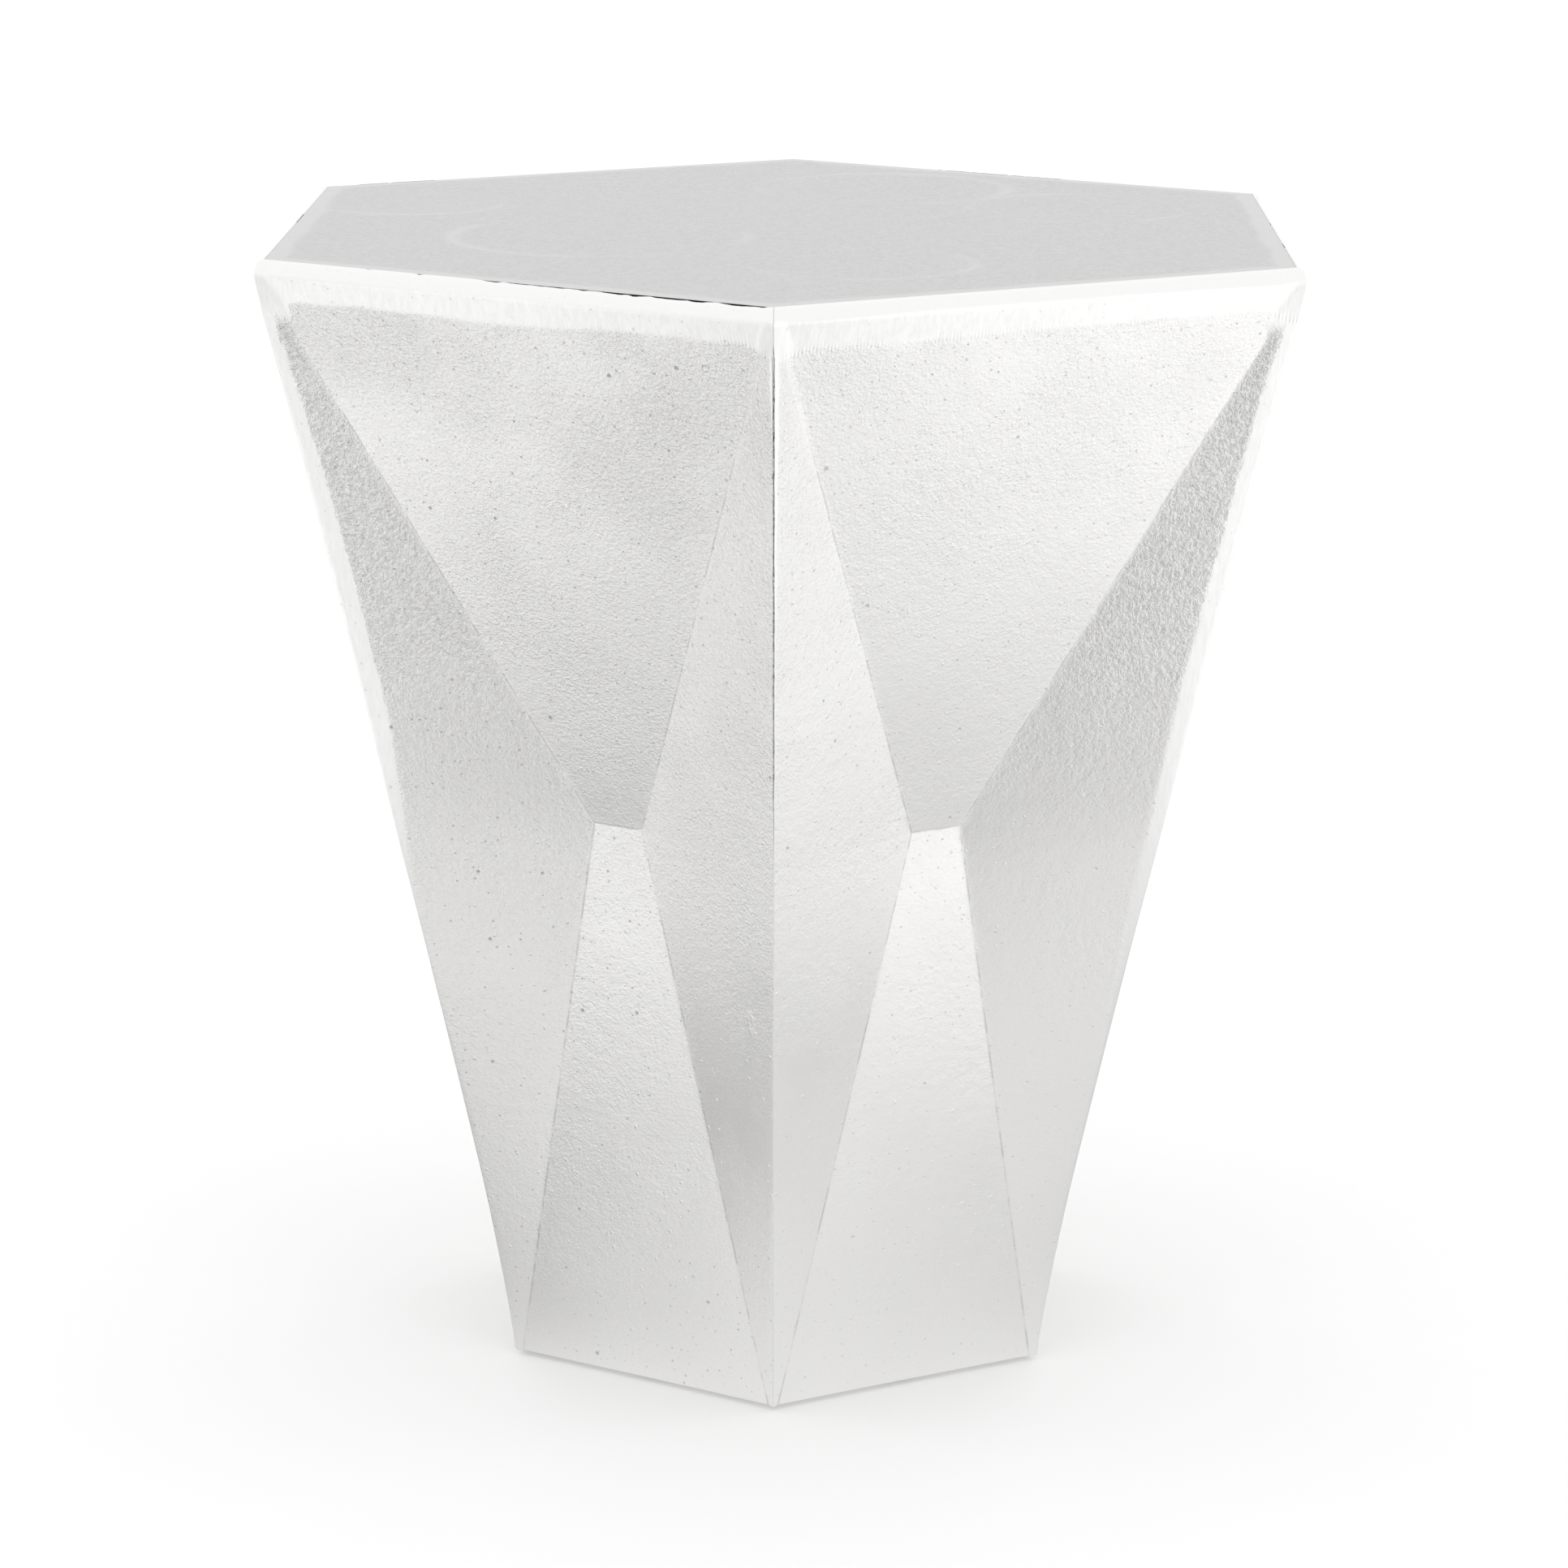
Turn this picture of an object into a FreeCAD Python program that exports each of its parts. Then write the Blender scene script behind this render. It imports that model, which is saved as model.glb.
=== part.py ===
import FreeCAD, Part
import math
import os

import Sketcher

# Faceted accent table, cast aluminium.
# Six identical side castings stand on edge round a hexagon and meet at six ridges.
# Each casting has an upper and a lower trapezoid that meet at a short waist edge, and a
# half diamond on each side of them that runs out to the ridge. A cast top plate drops
# behind the thin lip at the top of the castings and rests on their ledges. The castings
# are stitch welded inside along the ridges, the plate is stitch welded from below, and
# six screwed rubber glides carry the table.
#
# Frame: millimetres, +Z up, Z = 0 is the floor, the origin is under the table's centre.
# One ridge points along -Y, which is the front. Azimuths are in degrees from +X, the
# right, towards +Y, the back.

os.makedirs("parts", exist_ok=True)
doc = FreeCAD.newDocument("faceted_table")

# ---------------------------------------------------------------- driving dimensions

DIMENSIONS = [
    # alias, value, what it is
    # levels and radii of the castings
    ("stand_gap", 2.0, "underside of the castings above the floor, carried by the glides"),
    ("body_height", 455.0, "castings and top plate, base edge to top face"),
    ("low_level", 91.0, "level above the base edge where the ridge starts to splay more"),
    ("waist_level", 233.8, "level of the waist edge above the base edge"),
    ("high_level", 364.0, "level above the base edge where the ridge splays again"),
    ("rim_level", 449.0, "widest level, just under the lip"),
    ("base_radius", 122.7, "axis to ridge at the base edge"),
    ("low_radius", 140.6, "axis to ridge at the low level"),
    ("waist_radius", 175.2, "axis to ridge at the waist"),
    ("high_radius", 206.8, "axis to ridge at the high level"),
    ("rim_radius", 229.9, "axis to ridge at the rim"),
    ("lip_radius", 227.6, "axis to ridge at the top face"),
    ("waist_apothem", 123.5, "axis to the middle of a waist edge"),
    ("waist_half", 10.9, "half the length of a waist edge"),
    # casting wall
    ("tip_inset", 0.95, "how far a diamond's blunt tip stands out from the trapezoid"),
    ("tip_width", 2.6, "half width of a diamond's blunt tip"),
    ("inner_tip_inset", 0.3, "the same step on the inside of the wall"),
    ("inner_tip_width", 1.0, "the same half width on the inside of the wall"),
    ("wall", 5.2, "level thickness of the casting behind a trapezoid"),
    ("ridge_wall", 8.1, "level thickness of the casting behind a ridge"),
    ("crease_shift", 0.94, "sideways step of a crease through the wall"),
    ("seam_gap", 0.24, "gap between neighbouring castings at a ridge"),
    # foot flange, ledge and lip
    ("foot_thickness", 8.0, "thickness of the foot flange"),
    ("foot_inner", 75.0, "axis to the inner edge of the foot flange"),
    ("foot_outer", 103.0, "axis to where the foot flange ends inside the wall"),
    ("pocket_apothem", 195.0, "axis to the inner face of the lip"),
    ("room_reach", 40.0, "reach of the cut behind the lip, inward"),
    ("ledge_thickness", 6.0, "ledge under the top plate"),
    ("ledge_inner", 177.0, "axis to the inner edge of the ledge"),
    ("ledge_setback", 1.0, "outer end of the ledge pad short of the lip's inner face"),
    ("cut_overrun", 1.0, "extra depth of a cut that runs right through"),
    # top plate
    ("plate_thickness", 6.0, "top plate"),
    ("plate_gap", 0.25, "gap round the top plate"),
    ("plate_chamfer", 0.5, "broken edge of the top plate"),
    ("rib_depth", 9.0, "ribs under the top plate"),
    ("rib_width", 5.0, "ribs under the top plate"),
    ("rib_start", 32.0, "inner end of a radial rib"),
    ("rib_end", 168.0, "outer end of a radial rib"),
    ("hub_radius", 36.0, "ring that joins the radial ribs"),
    ("locator_length", 24.0, "locating lug under the top plate, along a side"),
    ("locator_width", 5.0, "locating lug under the top plate, across"),
    ("locator_depth", 5.0, "locating lug under the top plate, down"),
    ("locator_gap", 0.5, "clearance between a lug and the ledge"),
    ("locator_offset", 32.0, "middle of a side to the middle of a lug"),
    # glides and their screws
    ("glide_centre", 88.0, "axis to the centre of a glide"),
    ("glide_radius", 9.0, "rubber glide"),
    ("glide_height", 5.0, "rubber glide, overall"),
    ("glide_edge", 0.8, "bevel of the glide's lower edge"),
    ("recess_radius", 9.2, "recess for a glide in the foot flange"),
    ("recess_depth", 3.0, "recess for a glide in the foot flange"),
    ("pilot_radius", 2.0, "screw hole in the foot flange"),
    ("bore_radius", 2.2, "screw hole in a glide"),
    ("counterbore_radius", 5.0, "room for the screw head and washer in a glide"),
    ("counterbore_depth", 3.6, "room for the screw head and washer in a glide"),
    ("washer_radius", 4.7, "washer, outside"),
    ("washer_bore", 2.15, "washer, inside radius"),
    ("washer_thickness", 1.0, "washer"),
    ("head_radius", 3.6, "screw head"),
    ("head_height", 2.1, "screw head"),
    ("shank_radius", 1.9, "screw shank"),
    ("shank_length", 9.0, "screw shank above the head"),
    ("drive_width", 0.9, "cross recess, width of one arm"),
    ("drive_span", 3.6, "cross recess, end to end"),
    ("drive_depth", 1.2, "cross recess"),
    # weld beads
    ("bead_leg", 6.0, "leg of a ridge weld bead"),
    ("bead_half_angle", 38.0, "half angle of a ridge weld bead, degrees"),
    ("bead_crown", 0.12, "bulge of a ridge weld bead, as a share of its leg"),
    ("bead_clear", 0.05, "weld bead to casting or plate"),
    ("top_bead_leg", 4.0, "leg of a top plate weld bead"),
    ("top_bead_crown", 0.6, "crown of a top plate bead from its corner, share of its leg"),
    ("top_bead_length", 30.0, "length of a top plate weld bead"),
    ("top_bead_pitch", 110.0, "spacing of the top plate weld beads along a side"),
]

# Lower and upper end of each ridge weld stitch, above the base edge
STITCHES = [(24.0, 84.0), (104.0, 164.0), (184.0, 232.0), (252.0, 312.0), (372.0, 432.0)]

# Side and the azimuth it faces
SIDES = [
    ("front_right", -60), ("right", 0), ("back_right", 60),
    ("back_left", 120), ("left", 180), ("front_left", 240),
]

# Ridge and the azimuth it points to
RIDGES = [
    ("front", -90), ("right_front", -30), ("right_back", 30),
    ("back", 90), ("left_back", 150), ("left_front", 210),
]

sheet = doc.addObject("Spreadsheet::Sheet", "Dimensions")
for row, (alias, value, words) in enumerate(DIMENSIONS, start=1):
    sheet.set(f"A{row}", alias)
    sheet.set(f"B{row}", repr(value))
    sheet.set(f"C{row}", words)
    sheet.setAlias(f"B{row}", alias)
doc.recompute()


class Dim:
    """A size as a number and as the expression over the sheet that gives it."""

    def __init__(self, value, text):
        self.value = float(value)
        self.text = text

    @staticmethod
    def of(other):
        return other if isinstance(other, Dim) else Dim(other, repr(float(other)))

    def __add__(self, other):
        other = Dim.of(other)
        return Dim(self.value + other.value, f"({self.text} + {other.text})")

    def __sub__(self, other):
        other = Dim.of(other)
        return Dim(self.value - other.value, f"({self.text} - {other.text})")

    def __mul__(self, other):
        other = Dim.of(other)
        return Dim(self.value * other.value, f"({self.text} * {other.text})")

    def __truediv__(self, other):
        other = Dim.of(other)
        return Dim(self.value / other.value, f"({self.text} / {other.text})")

    def __neg__(self):
        return Dim(-self.value, f"(0 - {self.text})")


def size(alias):
    return Dim(float(sheet.get(alias)), "Dimensions." + alias)


def bind(obj, path, dim):
    obj.setExpression(path, dim.text)


def trig(function, angle):
    """Sine, cosine or tangent ("sin", "cos", "tan") of an angle in degrees."""
    value = getattr(math, function)(math.radians(angle.value))
    return Dim(value, f"{function}({angle.text})")


def blend(low, high, share):
    return low + (high - low) * share


ZERO = Dim(0, "0")
HALF_SIDE = Dim(30, "30")  # half the angle that one side of the hexagon takes up
COS30 = trig("cos", HALF_SIDE)
SIN30 = trig("sin", HALF_SIDE)
TAN30 = trig("tan", HALF_SIDE)

# ---------------------------------------------------------------- sketch helpers


def new_body(name):
    body = doc.addObject("PartDesign::Body", name)
    body.Label = name
    body.AllowCompound = True
    return body


def origin_plane(body, role):
    for feature in body.Origin.OriginFeatures:
        if feature.Role == role:
            return feature
    raise RuntimeError("no origin plane " + role)


def new_sketch(body, name, level=ZERO, role="XY_Plane"):
    """A sketch on an origin plane, moved along the plane's normal by level."""
    sketch = body.newObject("Sketcher::SketchObject", name)
    sketch.AttachmentSupport = [(origin_plane(body, role), "")]
    sketch.MapMode = "FlatFace"
    sketch.AttachmentOffset = FreeCAD.Placement(
        FreeCAD.Vector(0, 0, level.value), FreeCAD.Rotation()
    )
    bind(sketch, "AttachmentOffset.Base.z", level)
    return sketch


def pin_point(sketch, edge, vertex, x, y):
    for kind, dim in (("DistanceX", x), ("DistanceY", y)):
        index = sketch.addConstraint(Sketcher.Constraint(kind, edge, vertex, dim.value))
        bind(sketch, f"Constraints[{index}]", dim)


def polygon(sketch, points):
    """A closed outline whose corners sit at coordinates driven by the sheet."""
    count = len(points)
    corners = [FreeCAD.Vector(x.value, y.value, 0) for x, y in points]
    first = sketch.GeometryCount
    for i in range(count):
        sketch.addGeometry(Part.LineSegment(corners[i], corners[(i + 1) % count]), False)
    for i in range(count):
        following = first + (i + 1) % count
        sketch.addConstraint(Sketcher.Constraint("Coincident", first + i, 2, following, 1))
    for i, (x, y) in enumerate(points):
        pin_point(sketch, first + i, 1, x, y)


def rectangle(sketch, x_low, x_high, y_low, y_high):
    polygon(sketch, [(x_low, y_low), (x_high, y_low), (x_high, y_high), (x_low, y_high)])


def circle(sketch, x, radius):
    """A circle centred on the sketch's X axis."""
    centre = FreeCAD.Vector(x.value, 0, 0)
    edge = sketch.addGeometry(
        Part.Circle(centre, FreeCAD.Vector(0, 0, 1), radius.value), False
    )
    pin_point(sketch, edge, 3, x, ZERO)
    index = sketch.addConstraint(Sketcher.Constraint("Radius", edge, radius.value))
    bind(sketch, f"Constraints[{index}]", radius)


# ---------------------------------------------------------------- feature helpers

must_shrink = []  # (before, after): features that have to remove material


def add_feature(body, kind, name, **properties):
    """A PartDesign feature that becomes the body's tip."""
    feature = body.newObject("PartDesign::" + kind, name)
    for key, setting in properties.items():
        setattr(feature, key, setting)
    body.Tip = feature
    return feature


def loft(body, name, sections):
    return add_feature(
        body, "AdditiveLoft", name, Profile=sections[0], Sections=sections[1:], Ruled=True
    )


def pad(body, name, sketch, length, up=True):
    """Adds material along the sketch normal, or against it."""
    feature = add_feature(
        body, "Pad", name, Profile=sketch, Length=length.value, Reversed=not up
    )
    bind(feature, "Length", length)
    return feature


def pocket(body, name, sketch, depth, before):
    """Removes material from the feature before, upward from the sketch."""
    feature = add_feature(
        body, "Pocket", name, Profile=sketch, Length=depth.value, Reversed=True
    )
    bind(feature, "Length", depth)
    must_shrink.append((before, feature))
    return feature


def six_fold(body, name, originals, axis_sketch):
    """Repeats features six times round the normal of a sketch on the table's axis."""
    doc.recompute()
    return add_feature(
        body, "PolarPattern", name,
        Originals=originals, Axis=(axis_sketch, ["N_Axis"]), Angle=360, Occurrences=6,
    )


def turned(azimuth, x=0.0):
    """Placement: moved out by x, then turned about the table's axis."""
    spin = FreeCAD.Rotation(FreeCAD.Vector(0, 0, 1), azimuth)
    return FreeCAD.Placement(spin.multVec(FreeCAD.Vector(x, 0, 0)), spin)


# ---------------------------------------------------------------- side castings
# Each casting is drawn facing +X, then turned to its side.

stand = size("stand_gap")
top_level = size("body_height")
plate_underside = stand + top_level - size("plate_thickness")
half_gap = size("seam_gap") / 2
wall = size("wall")


def ridge_point(radius, side):
    """A point at a distance from the axis, half a seam gap short of the ridge plane."""
    return (
        radius * COS30 + half_gap * SIN30,
        (radius * SIN30 - half_gap * COS30) * side,
    )


def section(outer_radius, crease, inner_radius, inner_crease):
    """Level section of one casting: ridge, crease, crease, ridge, then back inside."""
    crease_x, crease_y = crease
    inner_x, inner_y = inner_crease
    return [
        ridge_point(outer_radius, -1),
        (crease_x, -crease_y),
        (crease_x, crease_y),
        ridge_point(outer_radius, 1),
        ridge_point(inner_radius, 1),
        (inner_x, inner_y),
        (inner_x, -inner_y),
        ridge_point(inner_radius, -1),
    ]


INNER_RIDGE_POINT = 4  # place of the first inside ridge point in a section


def tip_crease(radius):
    return radius * COS30 - size("tip_inset"), radius * SIN30 - size("tip_width")


def tip_section(radius):
    """Where the diamond runs out: its blunt tip and a near square inside corner."""
    crease = tip_crease(radius)
    inner_x = crease[0] - wall
    inner_radius = (inner_x + size("inner_tip_inset")) / COS30
    inner_y = inner_radius * SIN30 - size("inner_tip_width")
    return section(radius, crease, inner_radius, (inner_x, inner_y))


def full_section(radius, crease):
    inner_crease = (crease[0] - wall, crease[1] + size("crease_shift"))
    return section(radius, crease, radius - size("ridge_wall"), inner_crease)


def blend_crease(low, high, share):
    return blend(low[0], high[0], share), blend(low[1], high[1], share)


base_crease = tip_crease(size("base_radius"))
waist_crease = (size("waist_apothem"), size("waist_half"))
rim_crease = tip_crease(size("rim_radius"))
low_crease = blend_crease(
    base_crease, waist_crease, size("low_level") / size("waist_level")
)
high_crease = blend_crease(
    waist_crease,
    rim_crease,
    (size("high_level") - size("waist_level")) / (size("rim_level") - size("waist_level")),
)

CASTING_SECTIONS = [
    # name, level above the base edge, outline
    ("base", ZERO, tip_section(size("base_radius"))),
    ("low", size("low_level"), full_section(size("low_radius"), low_crease)),
    ("waist", size("waist_level"), full_section(size("waist_radius"), waist_crease)),
    ("high", size("high_level"), full_section(size("high_radius"), high_crease)),
    ("rim", size("rim_level"), tip_section(size("rim_radius"))),
    ("lip", top_level, tip_section(size("lip_radius"))),
]


def between_ridges(inner, outer):
    """A flat trapezoid across the casting, mitred half a seam gap short of the ridges."""
    slack = half_gap / COS30
    inner_half = inner * TAN30 - slack
    outer_half = outer * TAN30 - slack
    return [
        (inner, -inner_half),
        (outer, -outer_half),
        (outer, outer_half),
        (inner, inner_half),
    ]


def side_casting(name, azimuth):
    body = new_body(name)

    # faceted skin, base edge to lip, with its inside following the outside
    sections = []
    for tag, level, points in CASTING_SECTIONS:
        sketch = new_sketch(body, f"{name}_{tag}", stand + level)
        polygon(sketch, points)
        sections.append(sketch)
    loft(body, name + "_skin", sections)

    # foot flange, cast inward at the base
    sketch = new_sketch(body, name + "_foot_outline", stand)
    polygon(sketch, between_ridges(size("foot_inner"), size("foot_outer")))
    pad(body, name + "_foot", sketch, size("foot_thickness"))

    # ledge for the top plate
    lip_inside = size("pocket_apothem")
    ledge_outer = lip_inside - size("ledge_setback")
    sketch = new_sketch(body, name + "_ledge_outline", plate_underside)
    polygon(sketch, between_ridges(size("ledge_inner"), ledge_outer))
    ledge = pad(body, name + "_ledge", sketch, size("ledge_thickness"), up=False)

    # room for the plate behind the lip
    sketch = new_sketch(body, name + "_plate_room", plate_underside)
    rectangle(
        sketch, lip_inside - size("room_reach"), lip_inside, -lip_inside, lip_inside
    )
    room_depth = size("plate_thickness") + size("cut_overrun")
    room = pocket(body, name + "_room", sketch, room_depth, before=ledge)

    # recess and screw hole for the glide
    sketch = new_sketch(body, name + "_recess_outline", stand)
    circle(sketch, size("glide_centre"), size("recess_radius"))
    recess = pocket(body, name + "_recess", sketch, size("recess_depth"), before=room)
    sketch = new_sketch(body, name + "_pilot_outline", stand)
    circle(sketch, size("glide_centre"), size("pilot_radius"))
    pilot_depth = size("foot_thickness") + size("cut_overrun")
    pocket(body, name + "_pilot", sketch, pilot_depth, before=recess)

    body.Placement = turned(azimuth)
    return body


# ---------------------------------------------------------------- top plate


def hexagon(apothem):
    """Hexagon with flat sides facing azimuth 0, 60, 120 and so on."""
    radius = apothem / COS30
    half_side = radius * SIN30
    return [
        (apothem, -half_side),
        (apothem, half_side),
        (ZERO, radius),
        (-apothem, half_side),
        (-apothem, -half_side),
        (ZERO, -radius),
    ]


def top_plate():
    body = new_body("top_plate")
    sketch = new_sketch(body, "plate_outline", plate_underside)
    polygon(sketch, hexagon(size("pocket_apothem") - size("plate_gap")))
    pad(body, "plate_pad", sketch, size("plate_thickness"))

    # ring that joins the ribs
    sketch = new_sketch(body, "hub_outline", plate_underside)
    circle(sketch, ZERO, size("hub_radius"))
    circle(sketch, ZERO, size("hub_radius") - size("rib_width"))
    pad(body, "hub_pad", sketch, size("rib_depth"), up=False)

    # six radial ribs, one towards each side
    sketch = new_sketch(body, "rib_outline", plate_underside)
    half_rib = size("rib_width") / 2
    rectangle(sketch, size("rib_start"), size("rib_end"), -half_rib, half_rib)
    rib = pad(body, "rib_pad", sketch, size("rib_depth"), up=False)
    six_fold(body, "rib_pattern", [rib], sketch)
    doc.recompute()

    # locating lugs just inside the ledges, two a side, clear of the weld beads
    sketch = new_sketch(body, "locator_outline", plate_underside)
    outer = size("ledge_inner") - size("locator_gap")
    inner = outer - size("locator_width")
    half_lug = size("locator_length") / 2
    for middle in (size("locator_offset"), -size("locator_offset")):
        rectangle(sketch, inner, outer, middle - half_lug, middle + half_lug)
    lug = pad(body, "locator_pad", sketch, size("locator_depth"), up=False)
    lugs = six_fold(body, "locator_pattern", [lug], sketch)
    doc.recompute()

    # broken edge round the top face
    face_level = (stand + top_level).value
    edges = [
        f"Edge{number}"
        for number, edge in enumerate(lugs.Shape.Edges, start=1)
        if all(abs(vertex.Point.z - face_level) < 1e-6 for vertex in edge.Vertexes)
    ]
    chamfer = add_feature(
        body, "Chamfer", "plate_edge",
        Base=(lugs, edges), Size=size("plate_chamfer").value,
    )
    bind(chamfer, "Size", size("plate_chamfer"))
    must_shrink.append((lugs, chamfer))
    return body


# ---------------------------------------------------------------- ridge weld beads

# Level and distance from the axis of a ridge's inside corner, base to rim
INNER_RIDGE = [
    (level, (points[INNER_RIDGE_POINT][0] - half_gap * SIN30) / COS30)
    for _, level, points in CASTING_SECTIONS[:-1]
]


def inner_ridge(level):
    """Distance from the axis to the inside corner of a ridge at a level."""
    for (low, low_radius), (high, high_radius) in zip(INNER_RIDGE, INNER_RIDGE[1:]):
        if low.value <= level.value <= high.value:
            return blend(low_radius, high_radius, (level - low) / (high - low))
    raise RuntimeError("level outside the casting")


def ridge_weld(name, azimuth):
    """Stitches up the inside of one ridge, each lofted between its two ends."""
    body = new_body(name)
    leg = size("bead_leg")
    along = leg * trig("cos", size("bead_half_angle"))
    across = leg * trig("sin", size("bead_half_angle"))
    for number, ends in enumerate(STITCHES, start=1):
        sections = []
        for tag, end in zip(("low", "high"), ends):
            level = Dim.of(end)
            corner = inner_ridge(level) - size("bead_clear")
            sketch = new_sketch(body, f"{name}_{number}_{tag}", stand + level)
            polygon(
                sketch,
                [
                    (corner, ZERO),
                    (corner - along, across),
                    (corner - along - leg * size("bead_crown"), ZERO),
                    (corner - along, -across),
                ],
            )
            sections.append(sketch)
        loft(body, f"{name}_bead_{number}", sections)
    body.Placement = turned(azimuth)
    return body


# ---------------------------------------------------------------- top plate weld beads


def top_weld():
    """Two stitches a side in the corner between the plate's underside and the ledge."""
    body = new_body("top_plate_weld")
    corner_x = size("ledge_inner") - size("bead_clear")
    corner_z = plate_underside - size("bead_clear")
    leg = size("top_bead_leg")
    crown = leg * size("top_bead_crown")
    # near end of a bead from the middle of the side; the beads run outward from there
    start = (size("top_bead_pitch") - size("top_bead_length")) / 2
    beads = []
    for tag, level, along_normal in (("one", start, True), ("two", -start, False)):
        sketch = new_sketch(body, "top_bead_section_" + tag, level, role="XZ_Plane")
        polygon(
            sketch,
            [
                (corner_x, corner_z),
                (corner_x, corner_z - leg),
                (corner_x - crown, corner_z - crown),
                (corner_x - leg, corner_z),
            ],
        )
        length = size("top_bead_length")
        beads.append(pad(body, "top_bead_" + tag, sketch, length, up=along_normal))
    six_fold(body, "top_bead_ring", beads, new_sketch(body, "top_bead_axis"))
    return body


# ---------------------------------------------------------------- glides

glide_centre = size("glide_centre")
head_seat = size("counterbore_depth") - size("washer_thickness")  # washer's underside


def glide(name, azimuth):
    """Rubber glide, open below for the screw head and washer."""
    body = new_body(name)
    sketch = new_sketch(body, name + "_profile", role="XZ_Plane")
    radius = size("glide_radius")
    bevel = size("glide_edge")
    polygon(
        sketch,
        [
            (size("counterbore_radius"), ZERO),
            (radius - bevel, ZERO),
            (radius, bevel),
            (radius, size("glide_height")),
            (size("bore_radius"), size("glide_height")),
            (size("bore_radius"), size("counterbore_depth")),
            (size("counterbore_radius"), size("counterbore_depth")),
        ],
    )
    add_feature(
        body, "Revolution", name + "_turned",
        Profile=sketch, ReferenceAxis=(sketch, ["V_Axis"]), Angle=360,
    )
    body.Placement = turned(azimuth, x=glide_centre.value)
    return body


def ring_of_six(name, make):
    """Six equal small pieces on the glide circle, kept together as one group."""
    body = new_body(name)
    originals = make(body)
    six_fold(body, name + "_ring", originals, new_sketch(body, name + "_axis"))
    return body


def washer(body):
    sketch = new_sketch(body, "washer_outline", head_seat)
    circle(sketch, glide_centre, size("washer_radius"))
    circle(sketch, glide_centre, size("washer_bore"))
    return [pad(body, "washer_pad", sketch, size("washer_thickness"))]


def screw(body):
    """Screw pointing up, with a cross recess in the underside of its head."""
    head_face = head_seat - size("head_height")
    sketch = new_sketch(body, "head_outline", head_face)
    circle(sketch, glide_centre, size("head_radius"))
    head = pad(body, "head_pad", sketch, size("head_height"))
    sketch = new_sketch(body, "shank_outline", head_seat)
    circle(sketch, glide_centre, size("shank_radius"))
    shank = pad(body, "shank_pad", sketch, size("shank_length"))
    doc.recompute()

    sketch = new_sketch(body, "drive_outline", head_face)
    arm = size("drive_width") / 2
    tip = size("drive_span") / 2
    left_tip, left_arm = glide_centre - tip, glide_centre - arm
    right_arm, right_tip = glide_centre + arm, glide_centre + tip
    polygon(
        sketch,
        [
            (left_tip, -arm), (left_arm, -arm), (left_arm, -tip), (right_arm, -tip),
            (right_arm, -arm), (right_tip, -arm), (right_tip, arm), (right_arm, arm),
            (right_arm, tip), (left_arm, tip), (left_arm, arm), (left_tip, arm),
        ],
    )
    drive = pocket(body, "drive_pocket", sketch, size("drive_depth"), before=shank)
    return [head, shank, drive]


# ---------------------------------------------------------------- build and export

pieces = [side_casting(side + "_panel", azimuth) for side, azimuth in SIDES]
pieces.append(top_plate())
pieces += [ridge_weld(side + "_ridge_weld", azimuth) for side, azimuth in RIDGES]
pieces.append(top_weld())
pieces += [glide(side + "_glide", azimuth) for side, azimuth in SIDES]
pieces.append(ring_of_six("glide_washers", washer))
pieces.append(ring_of_six("glide_screws", screw))

doc.recompute()
for obj in doc.Objects:
    if "Invalid" in obj.State or "Error" in obj.State:
        raise RuntimeError(f"object {obj.Name} failed: {obj.State}")
for before, after in must_shrink:
    if not after.Shape.Volume < before.Shape.Volume - 1e-3:
        raise RuntimeError(f"feature {after.Name} removes nothing")
for piece in pieces:
    shape = piece.Shape
    if shape.isNull() or not shape.isValid() or shape.Volume <= 0 or not shape.Solids:
        raise RuntimeError(f"piece {piece.Label} has no valid solid")

for piece in pieces:
    piece.Shape.exportStep(f"parts/{piece.Label}.step")
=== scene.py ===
"""A six-sided cast aluminium body that flares from a narrow foot to a flat top.

It stands upright on z, centred on the z axis, with its front ridge towards -y. Six side
castings meet at mitred ridges, and a top plate drops into the pocket inside their lips.
Shapes are worked out in mm and become metres when a mesh is made.
"""
import math
from collections import namedtuple
from itertools import product
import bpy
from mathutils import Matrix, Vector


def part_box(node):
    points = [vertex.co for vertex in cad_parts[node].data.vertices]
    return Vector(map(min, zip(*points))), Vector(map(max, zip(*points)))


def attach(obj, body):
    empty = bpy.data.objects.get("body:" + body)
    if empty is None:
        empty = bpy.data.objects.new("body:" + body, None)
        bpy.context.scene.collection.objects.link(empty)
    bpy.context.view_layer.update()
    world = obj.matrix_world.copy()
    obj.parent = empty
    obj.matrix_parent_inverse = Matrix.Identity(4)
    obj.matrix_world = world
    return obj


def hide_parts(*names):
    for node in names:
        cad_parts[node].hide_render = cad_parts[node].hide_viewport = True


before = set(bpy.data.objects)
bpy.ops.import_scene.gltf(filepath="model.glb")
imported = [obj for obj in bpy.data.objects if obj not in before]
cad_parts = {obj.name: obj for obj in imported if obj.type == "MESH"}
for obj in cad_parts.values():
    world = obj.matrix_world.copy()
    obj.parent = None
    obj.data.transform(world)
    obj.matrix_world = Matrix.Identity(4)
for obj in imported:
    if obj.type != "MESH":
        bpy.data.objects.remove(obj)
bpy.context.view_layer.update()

from types import SimpleNamespace

import bmesh
import bpy
import numpy as np
from mathutils import Matrix, Vector
from mathutils.geometry import delaunay_2d_cdt

MILLI = 0.001  # metres in a millimetre
COS30, SIN30, TAN30 = math.cos(math.pi / 6), 0.5, math.tan(math.pi / 6)

# ------------------------------------------------------------------ sizes, in mm

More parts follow.
